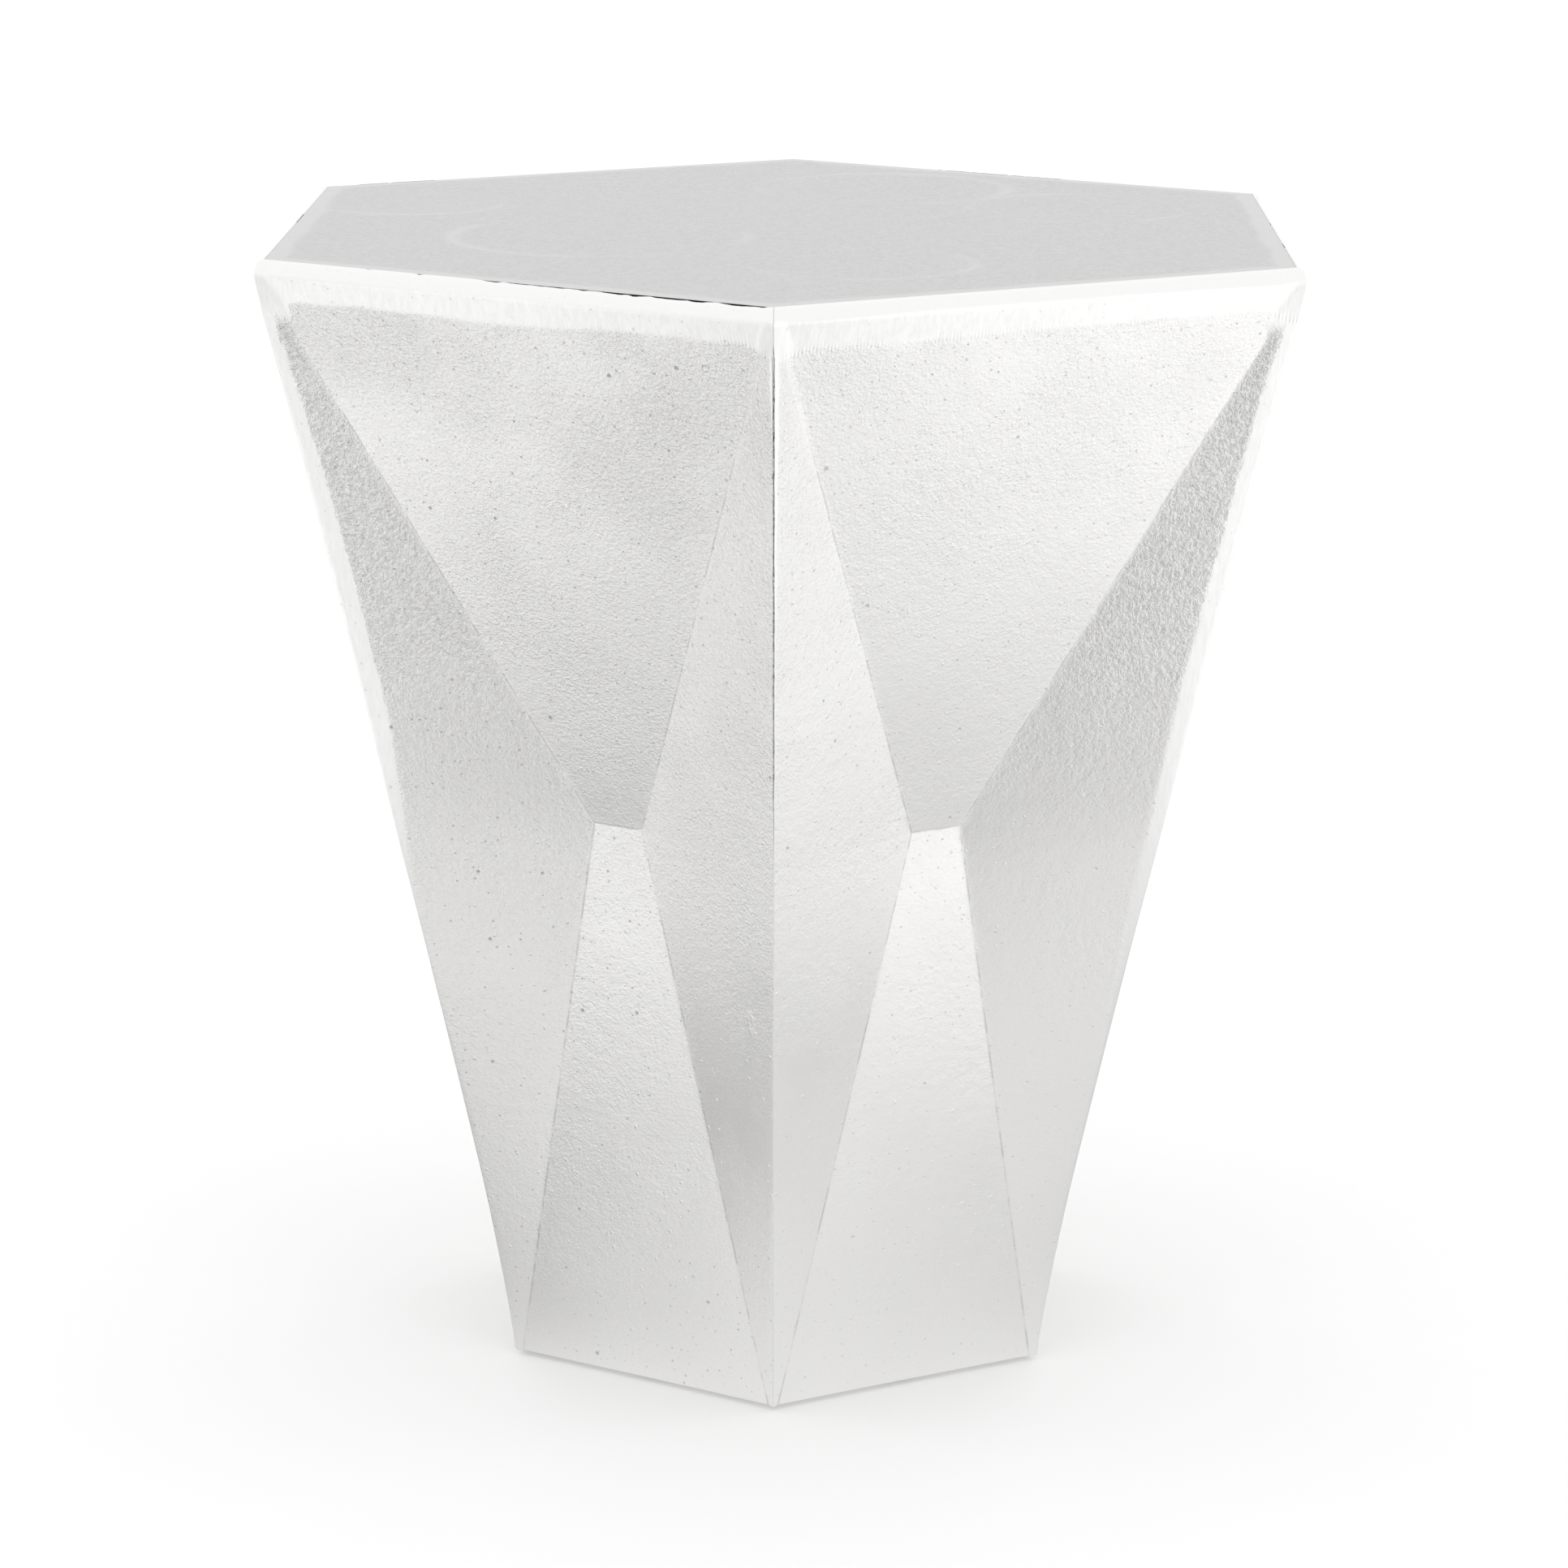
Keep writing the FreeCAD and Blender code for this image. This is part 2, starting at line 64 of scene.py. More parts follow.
box_low, box_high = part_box("right_panel")
Z_BASE = box_low.z / MILLI  # underside of the castings
Z_TOP = box_high.z / MILLI  # top face
BODY = Z_TOP - Z_BASE
TALL = BODY / 455.0  # levels above the base are given for a body 455 mm tall
WAIST_LEVEL = 233.8
Z_RIM = Z_BASE + 449.0 * TALL
Z_WAIST = Z_BASE + WAIST_LEVEL * TALL
PLATE_THICK = 6.0
Z_LEDGE = Z_TOP - PLATE_THICK

# the ridge: level above the base, radius
RIDGE = np.array([
    (0, 122.7), (13.65, 125.0), (27.3, 127.3), (45.5, 130.8), (68.25, 135.4), (91, 140.6),
    (136.5, 151.4), (182, 162.4), (227.5, 173.8), (273, 184.5), (318.5, 195.7), (364, 207.0),
    (386.75, 212.9), (409.5, 219.0), (432.25, 225.3), (441, 227.9), (446, 229.2),
    (449, 230.0), (460, 233.0)])
RIDGE_Z, RIDGE_RADIUS = RIDGE[:, 0] * TALL + Z_BASE, RIDGE[:, 1]
BASE_RADIUS, RIM_RADIUS = 122.7, 229.9


def fold_beside(radius):
    """Place (x, y) of the fold that runs close beside a ridge of this radius."""
    return radius * COS30 - 0.95, radius * SIN30 - 2.6


# Two folds bound the flat middle of a casting, given as (x outwards, y from its middle).
# The flat narrows from the base to the waist and widens again to the rim.
BASE_FOLD, WAIST_FOLD, RIM_FOLD = fold_beside(BASE_RADIUS), (123.5, 10.9), fold_beside(RIM_RADIUS)

POCKET = 195.0  # middle of the body to the wall of the pocket that holds the plate
PLATE_EDGE = POCKET - 0.25
LEDGE_IN = 177.0  # middle of the body to the inner edge of the ledge
RIM_HALF = 114.0  # half the length of a lip
HALF_GAP = 0.02  # castings meet face to face where the ridge is ground flush
COT_FACE = 1.0 / math.tan(math.radians(39.8))  # lean of the face beside a ridge
COT_STRIP = 1.0 / math.tan(math.radians(48.5))  # lean of the strip ground along it

# How far in from the ridge the ground strip reaches: level above the base, reach
NARROW_L = [(0, 0.5), (180, 0.6), (300, 0.8), (398, 1.0), (412, 1.3), (424, 2.2), (436, 3.0),
            (455, 3.0)]
NARROW_R = [(0, 0.5), (180, 0.8), (260, 1.4), (392, 2.0), (410, 2.4), (424, 2.9), (436, 3.2),
            (455, 3.0)]
WIDE_L = [(0, 0.7), (130, 0.9), (205, 1.6), (262, 8.2), (296, 9.0), (328, 9.0), (358, 8.5),
          (404, 7.0), (420, 8.0), (432, 9.6), (442, 9.4), (455, 7.0)]
WIDE_R = [(0, 0.7), (110, 1.0), (160, 2.2), (207, 4.5), (250, 6.8), (288, 6.9), (360, 6.6),
          (388, 6.4), (410, 7.2), (424, 9.0), (434, 9.8), (444, 9.0), (455, 7.0)]
WIDE_A = [(0, 0.7), (120, 0.9), (190, 2.4), (240, 7.0), (300, 7.6), (360, 7.4), (400, 6.8),
          (420, 8.0), (434, 9.8), (444, 9.0), (455, 7.0)]
WIDE_B = [(0, 0.7), (150, 1.2), (220, 5.0), (270, 6.6), (340, 6.9), (390, 6.4), (412, 7.4),
          (428, 9.6), (442, 9.2), (455, 7.0)]

RIDGES = ["front", "right_front", "right_back", "back", "left_back", "left_front"]
GROOVES = {"front": 0.34, "back": 0.35}  # depth of the V left at a seam; none elsewhere

# Per casting: direction it faces in degrees from +x, strength of its cast skin (which also scales
# the painted shade in the skin's low spots), then its ridges and their reach tables, each at the
# -y and the +y end in its own frame.
# lip_gaps: where the seam round the plate is open, as (from, to, width in mm), with
# positions along the side from -1 to 1.
Side = namedtuple("Side", "name azimuth skin ridges reaches lip_gaps")
SIDES = [
    Side("front_right", -60, 0.42, ("front", "right_front"), (NARROW_R, WIDE_R),
         [(-0.98, -0.90, 0.20), (-0.62, -0.59, 0.16), (0.62, 0.70, 0.14)]),
    Side("right", 0, 0.7, ("right_front", "right_back"), (WIDE_A, WIDE_B),
         [(-0.5, -0.38, 0.2), (0.1, 0.16, 0.14)]),
    Side("back_right", 60, 0.85, ("right_back", "back"), (WIDE_A, NARROW_R),
         [(-0.2, 0.35, 0.22)]),
    Side("back_left", 120, 0.95, ("back", "left_back"), (WIDE_B, WIDE_A),
         [(0.55, 0.9, 0.25)]),
    Side("left", 180, 0.8, ("left_back", "left_front"), (WIDE_B, WIDE_A),
         [(-0.2, 0.05, 0.18)]),
    Side("front_left", 240, 1.0, ("left_front", "front"), (WIDE_L, NARROW_L),
         [(0.30, 1.0, 0.62), (-0.12, 0.32, 0.40), (-0.39, -0.33, 0.40), (-0.58, -0.55, 0.30)]),
]


def half_side(side, half):
    """Ridge name, reach table and seam groove at the -y (-1) or +y (1) end of a casting."""
    end = 0 if half < 0 else 1
    ridge = side.ridges[end]
    return ridge, side.reaches[end], GROOVES.get(ridge, 0.0)


def ridge_radius(z):
    """Radius of the ridge, averaged over nearby levels so that it is one fair curve."""
    return np.mean([np.interp(z + shift, RIDGE_Z, RIDGE_RADIUS)
                    for shift in np.linspace(-10, 10, 9)], axis=0)


def fold_xy(z):
    """Place of the fold at level z: straight from base to waist and from waist to rim."""
    low = np.clip((z - Z_BASE) / (Z_WAIST - Z_BASE), 0, 1)
    high = (z - Z_WAIST) / (Z_RIM - Z_WAIST)
    return tuple(np.where(z <= Z_WAIST, base + (waist - base) * low, waist + (rim - waist) * high)
                 for base, waist, rim in zip(BASE_FOLD, WAIST_FOLD, RIM_FOLD))


# ------------------------------------------------------------------ noise and blending


def lattice_value(x, y, z, seed):
    """A fixed random value in -1..1 for each whole-numbered point."""
    bits = (x.astype(np.int64) * 374761393 + y.astype(np.int64) * 668265263
            + z.astype(np.int64) * 2147483647 + seed * 1274126177) & 0xFFFFFFFF
    bits = ((bits ^ (bits >> 13)) * 1274126177) & 0xFFFFFFFF
    bits = ((bits ^ (bits >> 16)) * 2246822519) & 0xFFFFFFFF
    return ((bits ^ (bits >> 15)) & 0xFFFFFF) / float(0xFFFFFF) * 2 - 1


def noise(x, y, z, cell, seed):
    """Smooth value noise in -1..1 with cells of the given size."""
    scaled = np.broadcast_arrays(*(np.asarray(value, float) / cell for value in (x, y, z)))
    corner = [np.floor(value) for value in scaled]
    shares = [value - low for value, low in zip(scaled, corner)]
    shares = [share * share * share * (share * (share * 6 - 15) + 10) for share in shares]
    total = 0
    for offsets in product((0, 1), repeat=3):
        weight = 1
        for share, offset in zip(shares, offsets):
            weight = weight * (share if offset else 1 - share)
        total = total + weight * lattice_value(
            *(low + offset for low, offset in zip(corner, offsets)), seed)
    return total


def noise_pair(x, y, z, cell, seed):
    """Noise with half as much again at half the cell size."""
    return (noise(x, y, z, cell, seed) + 0.5 * noise(x, y, z, cell / 2, seed + 17)) / 1.5


def smooth_min(first, second, width):
    """The smaller of two values, blended over the given width."""
    share = np.clip(0.5 + 0.5 * (second - first) / width, 0, 1)
    return second + (first - second) * share - width * share * (1 - share)


def smooth_max(first, second, width):
    return -smooth_min(-first, -second, width)


def step(low, high, value):
    """Rises smoothly from 0 at low to 1 at high."""
    share = np.clip((value - low) / (high - low), 0, 1)
    return share * share * (3 - 2 * share)


# ------------------------------------------------------------------ mesh helpers

# point attributes: ground metal, open seam (painted shade in its gap), lip, strength of the cast
# skin, hatching at the band's edge, coarse grain (skin and grain also scale the painted shade in
# the skin's low spots), and y along the side in mm
MARKS = ("dress", "seam", "lip", "skin", "hatch", "grain", "along")
SHARP_ANGLE = math.radians(35.0)


def marked(marks, **values):
    """A copy of a block of marks with some of them set."""
    marks = marks.copy()
    for name, value in values.items():
        marks[..., MARKS.index(name)] = value
    return marks


def turned(points, angle):
    cos, sin = math.cos(angle), math.sin(angle)
    return [(cos * x - sin * y, sin * x + cos * y) for x, y in points]


class Build:
    """Collects patches of one closed piece, merging the points that they share."""

    def __init__(self):
        self.points, self.faces, self.keys, self.marks = [], [], {}, []

    def add(self, point, marks=()):
        """Index of a point, which is new unless one was added in the same place."""
        key = tuple(round(value, 4) for value in point)
        if key not in self.keys:
            self.keys[key] = len(self.points)
            self.points.append(tuple(point))
            self.marks.append(tuple(marks) + (0,) * (len(MARKS) - len(marks)))
        return self.keys[key]

    def grid(self, xyz, marks):
        """Adds a (rows, columns, 3) block of points that nothing else repeats."""
        first = len(self.points)
        rows, cols = xyz.shape[:2]
        self.points.extend(map(tuple, xyz.reshape(-1, 3).tolist()))
        self.marks.extend(map(tuple, marks.reshape(-1, len(MARKS)).tolist()))
        return np.arange(first, first + rows * cols).reshape(rows, cols)

    def loop(self, outline, z):
        """Adds a level outline. A loop is a list of (u, v, point index)."""
        return [(x, y, self.add((x, y, z))) for x, y in outline]

    def level_loop(self, indices):
        """A loop through points that are already there."""
        return [(self.points[i][0], self.points[i][1], i) for i in indices]

    def face(self, *indices):
        """Adds a face, leaving out repeated corners."""
        kept = []
        for i in indices:
            if not kept or kept[-1] != i:
                kept.append(i)
        if len(kept) > 2 and kept[0] == kept[-1]:
            kept.pop()
        if len(set(kept)) >= 3:
            self.faces.append(tuple(kept))

    def tube(self, first, second):
        """Wall between two loops of the same count."""
        count = len(first)
        for i in range(count):
            j = (i + 1) % count
            self.face(first[i][2], first[j][2], second[j][2], second[i][2])

    def zipper(self, first, second, flip=False):
        """Triangles between two open lines of point indices that run the same way."""
        spots_1 = np.array([self.points[i] for i in first])
        spots_2 = np.array([self.points[i] for i in second])
        i = j = 0
        while i < len(first) - 1 or j < len(second) - 1:
            along_first = i < len(first) - 1 and (
                j == len(second) - 1
                or np.linalg.norm(spots_1[i + 1] - spots_2[j])
                <= np.linalg.norm(spots_2[j + 1] - spots_1[i]))
            if along_first:
                triangle = (first[i], first[i + 1], second[j])
                i += 1
            else:
                triangle = (first[i], second[j + 1], second[j])
                j += 1
            self.face(*(triangle[::-1] if flip else triangle))

    def fill(self, loops, to_3d):
        """Fills a flat region: loops[0] is the outline, the rest are holes. Regions are
        told apart by counting the outlines that are crossed on the way in."""
        coords, indices, edges = [], [], []
        for loop in loops:
            first, count = len(coords), len(loop)
            coords += [Vector((u, v)) for u, v, _ in loop]
            indices += [index for _, _, index in loop]
            edges += [(first + k, first + (k + 1) % count) for k in range(count)]
        verts, out_edges, triangles, vert_source, edge_source, _ = delaunay_2d_cdt(
            coords, edges, [], 0, 1e-6)
        new_indices = [indices[source[0]] if source else self.add(to_3d(vert.x, vert.y))
                       for vert, source in zip(verts, vert_source)]
        walls = {tuple(sorted(edge)) for edge, source in zip(out_edges, edge_source) if source}

        def edges_of(triangle):
            return [(min(i, j), max(i, j)) for i, j in zip(triangle, triangle[1:] + triangle[:1])]

        sharing = {}
        for k, triangle in enumerate(triangles):
            for edge in edges_of(triangle):
                sharing.setdefault(edge, []).append(k)
        inside, queue = {}, []
        for edge, owners in sharing.items():
            if len(owners) == 1 and owners[0] not in inside:
                inside[owners[0]] = edge in walls
                queue.append(owners[0])
        while queue:
            k = queue.pop()
            for edge in edges_of(triangles[k]):
                for other in sharing[edge]:
                    if other not in inside:
                        inside[other] = inside[k] != (edge in walls)
                        queue.append(other)
        for k, triangle in enumerate(triangles):
            if inside.get(k):
                self.face(*(new_indices[i] for i in triangle))

    def finish(self, name, azimuth=0):
        """Makes the object, turned about z by an angle in degrees."""
        mesh = bpy.data.meshes.new(name)
        turn = np.array(Matrix.Rotation(math.radians(azimuth), 3, "Z"))
        mesh.from_pydata((np.array(self.points) * MILLI @ turn.T).tolist(), [], self.faces)
        for k, label in enumerate(MARKS):
            attribute = mesh.attributes.new(label, "FLOAT", "POINT")
            values = np.array([marks[k] for marks in self.marks], np.float32)
            attribute.data.foreach_set("value", values)
        mesh.validate()
        mesh.update()
        edit = bmesh.new()
        edit.from_mesh(mesh)
        bmesh.ops.recalc_face_normals(edit, faces=edit.faces)
        for face in edit.faces:
            face.smooth = True
        for edge in edit.edges:
            if len(edge.link_faces) == 2 and edge.calc_face_angle(0) > SHARP_ANGLE:
                edge.smooth = False
        edit.to_mesh(mesh)
        edit.free()
        piece = bpy.data.objects.new(name, mesh)
        bpy.context.scene.collection.objects.link(piece)
        return piece


def assign(piece, material):
    piece.data.materials.clear()
    piece.data.materials.append(material)


def stand_in(piece, replaced, material):
    """Puts a built piece in the place of a CAD piece."""
    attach(piece, "root")
    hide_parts(replaced)
    assign(piece, material)


# ------------------------------------------------------------------ outer face of a casting
# Castings are built with x outwards and y along the side.


def strip_reach(reach, half, z, seed):
    """Reach of the ground strip, averaged over nearby levels, with long and short waves."""
    levels, widths = np.array(reach, float).T
    smooth = np.mean([np.interp(z - Z_BASE + shift, levels * TALL, widths)
                      for shift in (-12, -4, 4, 12)], axis=0)
    return smooth * (1 + 0.07 * noise(z, 0, half * 40, cell=44, seed=seed)
                     + 0.04 * noise(z, 3, half * 40, cell=13, seed=seed + 1))


def skin_waves(side, y, z, fold_y):
    """Relief of the cast skin: long waves, short ones, and a flat drawn in at its middle."""
    angle = math.radians(side.azimuth)
    cos, sin = math.cos(angle), math.sin(angle)
    face_x = 170  # the waves are read off a plane this far out
    body_x, body_y = cos * face_x - sin * y, sin * face_x + cos * y
    waves = (0.10 * noise_pair(body_x, body_y, z, cell=95, seed=3)
             + 0.045 * noise_pair(body_x, body_y, z, cell=13, seed=5))
    drawn_in = np.clip(1 - (np.abs(y) / np.maximum(fold_y, 1)) ** 2, 0, 1) * step(0, 60, fold_y)
    return waves - 0.25 * drawn_in


def band_depth(side, y, z):
    """Depth ground off below the rim: a shallow facet that leans less than the face."""
    lean = 0.030 if side.name == "front_left" else 0.040
    depth = (11.6 * lean + 0.04 * noise(y, 2, side.azimuth, cell=62, seed=31)
             + 0.018 * noise(y, 8, side.azimuth, cell=17, seed=33))
    # deeper towards both ends
    depth = depth + 4.5 * lean * step(0.84, 1.0, np.abs(y / RIM_HALF))
    shave = smooth_max(depth - lean * (Z_RIM - z), 0.0, width=0.06)
    return np.where(z > Z_RIM - 40, shave, 0)


LIP_LEAN = 0.31  # the lip leans in by this much for each mm up


def lip_plane(side, y, z):
    """x of the lip, which is wavy and stands out a little at its ends."""
    waves = (0.10 * noise(y, 5, side.azimuth, cell=48, seed=41)
             + 0.03 * noise(y, 9, side.azimuth, cell=15, seed=43))
    corner = 0.95 * step(0.95, 1.0, np.abs(y / RIM_HALF))
    return RIM_FOLD[0] - 0.15 + corner - (z - Z_RIM) * LIP_LEAN + waves


def surface(side, y, z, half):
    """Outer x of a casting at y and z, in the half towards -y (-1) or +y (1).
    Returns x and then the values of MARKS."""
    ridge, reach, groove_top = half_side(side, half)
    front = ridge == "front"
    across = np.abs(y)
    up = np.clip((z - Z_BASE) / BODY, 0, 1)
    seed = 100 + 7 * RIDGES.index(ridge) + (3 if half > 0 else 0)
    fold_x, fold_y = fold_xy(z)
    # how far in from the ridge the fold lies
    fold_in = np.maximum(fold_x * SIN30 - fold_y * COS30, 0.4)
    reach = np.minimum(strip_reach(reach, half, z, seed), fold_in)

    # by the rim the whole tip between fold and ridge is ground over
    over_from, over_to = (434, 445) if front else (426, 439)
    over = step(over_from, over_to, (z - Z_BASE) / TALL)
    cut = reach * (COT_FACE - COT_STRIP) * (1 - over)
    cut_share = np.clip(cut, 0, 1)
    tip = 0.05 + 0.14 * cut_share  # rounding of the ridge
    raw_radius = ridge_radius(z) + cut + tip  # the ridge before grinding
    bend_y = fold_y - over * 1.02 * fold_in / COS30
    slope = (raw_radius * COS30 - fold_x) / np.maximum(raw_radius * SIN30 - bend_y, 0.5)
    cast = smooth_max(fold_x, fold_x + (across - bend_y) * slope, width=0.30)
    near_ridge = np.exp(-np.maximum(ridge_radius(z) * SIN30 - across, 0) / 6.0)
    cast = cast + skin_waves(side, y, z, fold_y) * (1 - 0.6 * near_ridge)

    # the seam's V opens above the middle, closes near the top and has a ragged depth
    groove = groove_top * step(0.50, 0.64, up) * (1 - 0.8 * step(0.955, 0.985, up))
    groove = groove * np.clip(0.75 + 0.55 * noise(z, 1, 5, cell=6, seed=seed + 3), 0.1, 1.2)

    # ground strip along the ridge and its rounded tip, settled in four rounds because its
    # depth depends on the distance from the mitre plane
    x = cast
    strip_end = np.minimum(1.25 * reach + 1.0, fold_in + 0.25)
    for _ in range(4):
        inward = np.maximum(x * SIN30 - across * COS30, 0.0)
        wobble = 0.04 * noise(z, inward, 1, cell=26, seed=seed + 5) * cut_share
        depth = cut + inward * COT_STRIP + wobble - 1.6 * np.maximum(inward - strip_end, 0)
        rounded = cut + tip + inward * 0.12 - 2.0 * np.maximum(inward - 2.2, 0)
        depth = smooth_max(depth, rounded, width=tip)
        depth = depth + groove * np.clip(1 - inward / 0.30, 0, 1)
        x = smooth_min(cast, (raw_radius - depth - across * SIN30) / COS30, width=0.16)
    ground = np.maximum(step(0.03, 0.30, cast - x), over * step(-0.6, 0.6, across - bend_y))

    # band under the rim, hatched where it runs out, then the lip above it
    shave = band_depth(side, y, z)
    band = step(0.02, 0.14, shave)
    hatch = (np.exp(-((shave - 0.05) / 0.09) ** 2) * (z > Z_RIM - 40)
             * step(0.012, 0.035, shave))
    shaved_x = x - shave
    lipped_x = smooth_min(shaved_x, lip_plane(side, y, z), width=0.45)
    lip = step(0.05, 0.5, shaved_x - lipped_x)
    dress = np.maximum(np.maximum(ground, band), lip)

    # coarse grain outside the folds, on the upper part; it roughens the skin and also deepens the
    # painted shade in its low spots
    grain = step(225, 330, z - Z_BASE) * step(0, 3, across - fold_y) * (1 - ground)
    if front:
        grain = 0.3 * grain
    # painted shade along an open seam's gap, fainter near the top
    open_seam = 1.0 if groove_top > 0 else 0.0
    seam = open_seam * step(0.44, 0.62, up) * np.exp(-(inward / 0.34) ** 2)
    seam = seam * (0.60 - 0.35 * step(0.93, 0.965, up))
    return lipped_x, dress, seam, lip, np.full_like(dress, side.skin), hatch, grain, y


def seam_gap(side, half, z):
    """Distance of a casting's end from the mitre plane."""
    groove = half_side(side, half)[2]
    up = (z - Z_BASE) / BODY
    return HALF_GAP + 0.05 * min(1.0, groove / 0.5) * step(0.45, 0.66, up)


def mitre_y(side, half, x, z):
    """Distance along the side at which the casting ends."""
    return (x * SIN30 - seam_gap(side, half, z)) / COS30


def lip_drop(side, place):
    """How far the lip is ground below the top face, at a place from -1 to 1 along it."""
    if side.name != "front_left":
        return np.zeros_like(place)
    before_end = 1 - step(0.985, 1.0, place)
    strong = step(0.26, 0.44, place) * before_end
    mild = step(-0.16, -0.06, place) * before_end
    specks = (np.exp(-((place + 0.36) / 0.012) ** 2)
              + 0.8 * np.exp(-((place + 0.565) / 0.008) ** 2))
    rag = (0.80 + 0.35 * noise(place * 110, 3, 2, cell=9, seed=57)
           + 0.45 * noise(place * 110, 6, 2, cell=3.1, seed=58))
    return (0.46 * mild + 0.34 * strong) * np.clip(rag, 0.12, 1.4) + 0.42 * specks


def lip_gap(side, place):
    """Width of the seam round the plate, at a place from -1 to 1 along a side."""
    rag = (0.75 + 0.30 * noise(place * 400, 1, 2, cell=7, seed=51)
           + 0.30 * noise(place * 400, 4, 2, cell=2.2, seed=53))
    rag = np.clip(rag, 0.1, 1.4)
    gap = np.full_like(place, 0.04)
    for start, stop, width in side.lip_gaps:
        within = (step(start - 0.015, start + 0.02, place)
                  * (1 - step(stop - 0.02, stop + 0.015, place)))
        gap = np.maximum(gap, width * within * rag)
    return gap


def seam_shade(opening):
    """Painted shade of the seam at the edge of the plate: faint where shut, full where open."""
    return 0.12 + 0.88 * step(0.08, 0.16, opening)


# ------------------------------------------------------------------ side castings

HALF_COUNT = 84  # even columns from the middle of a casting to the close ones at its ridge
# the close columns: distances in from the ridge
RIDGE_COLUMNS = np.array([0, 0.14, 0.28, 0.42, 0.6, 0.85, 1.2, 1.7, 2.3, 3.0, 3.8, 4.7, 5.7])


def panel_levels():
    """Levels of the rows: close at the base, at the waist and near the rim."""
    levels = [0.0, 0.25, 0.6, 1.1, 1.8, 2.8]
    while levels[-1] < 231.0 * TALL:
        levels.append(levels[-1] + 2.0)
    levels = [level for level in levels if level < (WAIST_LEVEL - 1.8) * TALL]
    levels += [(WAIST_LEVEL + shift) * TALL for shift in (-1.3, -0.6, -0.25, 0, 0.25, 0.6, 1.3)]
    for stop, spacing in ((430, 2.0), (452.6, 0.8)):
        while levels[-1] < stop * TALL:
            levels.append(levels[-1] + spacing)
    return np.array([level for level in levels if level < 453.2 * TALL]) + Z_BASE


def half_columns(side, half, levels):
    """Distances of the points from the middle of a casting, level by level, and the
    column that lies on the fold (-1 for none)."""
    fold_y = fold_xy(levels)[1]
    end = ridge_radius(levels) * SIN30
    for _ in range(10):
        end = mitre_y(side, half, surface(side, half * end, levels, half)[0], levels)
    even = np.linspace(0, 1, HALF_COUNT + 1)[None, :] * (end - RIDGE_COLUMNS[-1])[:, None]
    columns = np.concatenate([even, end[:, None] - RIDGE_COLUMNS[-2::-1][None, :]], 1)
    nearest = np.argmin(np.abs(columns - fold_y[:, None]), 1)
    usable = (nearest > 0) & (nearest < columns.shape[1] - 1) & (levels > Z_BASE + 3)
    rows = np.nonzero(usable)[0]
    columns[rows, nearest[rows]] = fold_y[rows]
    return columns, np.where(usable, nearest, -1)


def outer_rows(side):
    """Points (x, y, z blocks), marks and on-fold flags of the outer face."""
    levels = panel_levels()
    columns, fold_columns = zip(*(half_columns(side, half, levels) for half in (-1, 1)))
    middle = columns[0].shape[1] - 1
    z = np.repeat(levels[:, None], middle + 1, 1)
    parts = [surface(side, half * cols, z, half) for half, cols in zip((-1, 1), columns)]
    y = np.concatenate([-columns[0][:, ::-1], columns[1][:, 1:]], 1)
    x = np.concatenate([parts[0][0][:, ::-1], parts[1][0][:, 1:]], 1)
    marks = np.concatenate([np.stack(parts[0][1:], -1)[:, ::-1],
                            np.stack(parts[1][1:], -1)[:, 1:]], 1)
    z = np.repeat(levels[:, None], y.shape[1], 1)
    edge_radius = 1.2  # rounded lower edge
    below = np.clip(edge_radius - (levels - Z_BASE), 0, edge_radius)
    arc = np.sqrt(edge_radius * edge_radius - below ** 2)
    x = x - 0.8 * (edge_radius - arc)[:, None]
    # stretch each half to end on the mitre plane
    for at, half, part in ((0, -1, slice(0, middle)), (-1, 1, slice(middle + 1, None))):
        end = half * mitre_y(side, half, x[:, at], levels)
        y[:, part] *= (end / y[:, at])[:, None]
    on_fold = np.zeros(y.shape, bool)
    for half, found in zip((-1, 1), fold_columns):
        rows = np.nonzero(found > 0)[0]
        on_fold[rows, middle + half * found[rows]] = True
    return x, y, z, marks, on_fold


def lip_rows(side, x, y, z_last, marks):
    """Rows over the lip to the top face and down behind it to the ledge, carrying on from
    the last outer row: a list of (x, y, z, marks)."""
    place = y / np.abs(y).max()
    gap = lip_gap(side, place)
    inner = PLATE_EDGE + gap
    z_lip = Z_TOP - lip_drop(side, place)
    lip_radius = 1.15
    lip = marked(marks, dress=1, seam=0, lip=1, hatch=0, grain=0)
    rows = []
    for angle in np.linspace(0, 1, 7) * math.pi / 2:
        z_new = z_lip - lip_radius + lip_radius * math.sin(angle)
        x_new = x - LIP_LEAN * (z_new - z_last) - lip_radius * (1 - math.cos(angle))
        rows.append((np.maximum(x_new, inner + 0.22), z_new, lip))
    flat = marked(lip, lip=0)
    # painted shade: the lip's inner edge and the walls down into the gap round the plate take the
    # seam mark, which colours them near black
    dark = marked(flat, dress=0, seam=1)
    wall = np.full_like(y, POCKET)
    rows += [(inner + 0.10, z_lip, flat), (inner + 0.03, z_lip - 0.03, flat),
             (inner, z_lip - 0.10, marked(flat, seam=seam_shade(gap))),
             (inner, z_lip - 1.2, dark),
             (wall, np.full_like(y, Z_TOP - 3.0), dark), (wall, np.full_like(y, Z_LEDGE), dark)]
    out = []
    for x_new, z_new, row_marks in rows:
        y_new = y.copy()
        for at, half, part in ((0, -1, y < 0), (-1, 1, y >= 0)):
            end = mitre_y(side, half, x_new[at], z_new[at])
            y_new[part] = y[part] * (end / abs(y[at]))
        out.append((x_new, y_new, z_new, row_marks))
    return out


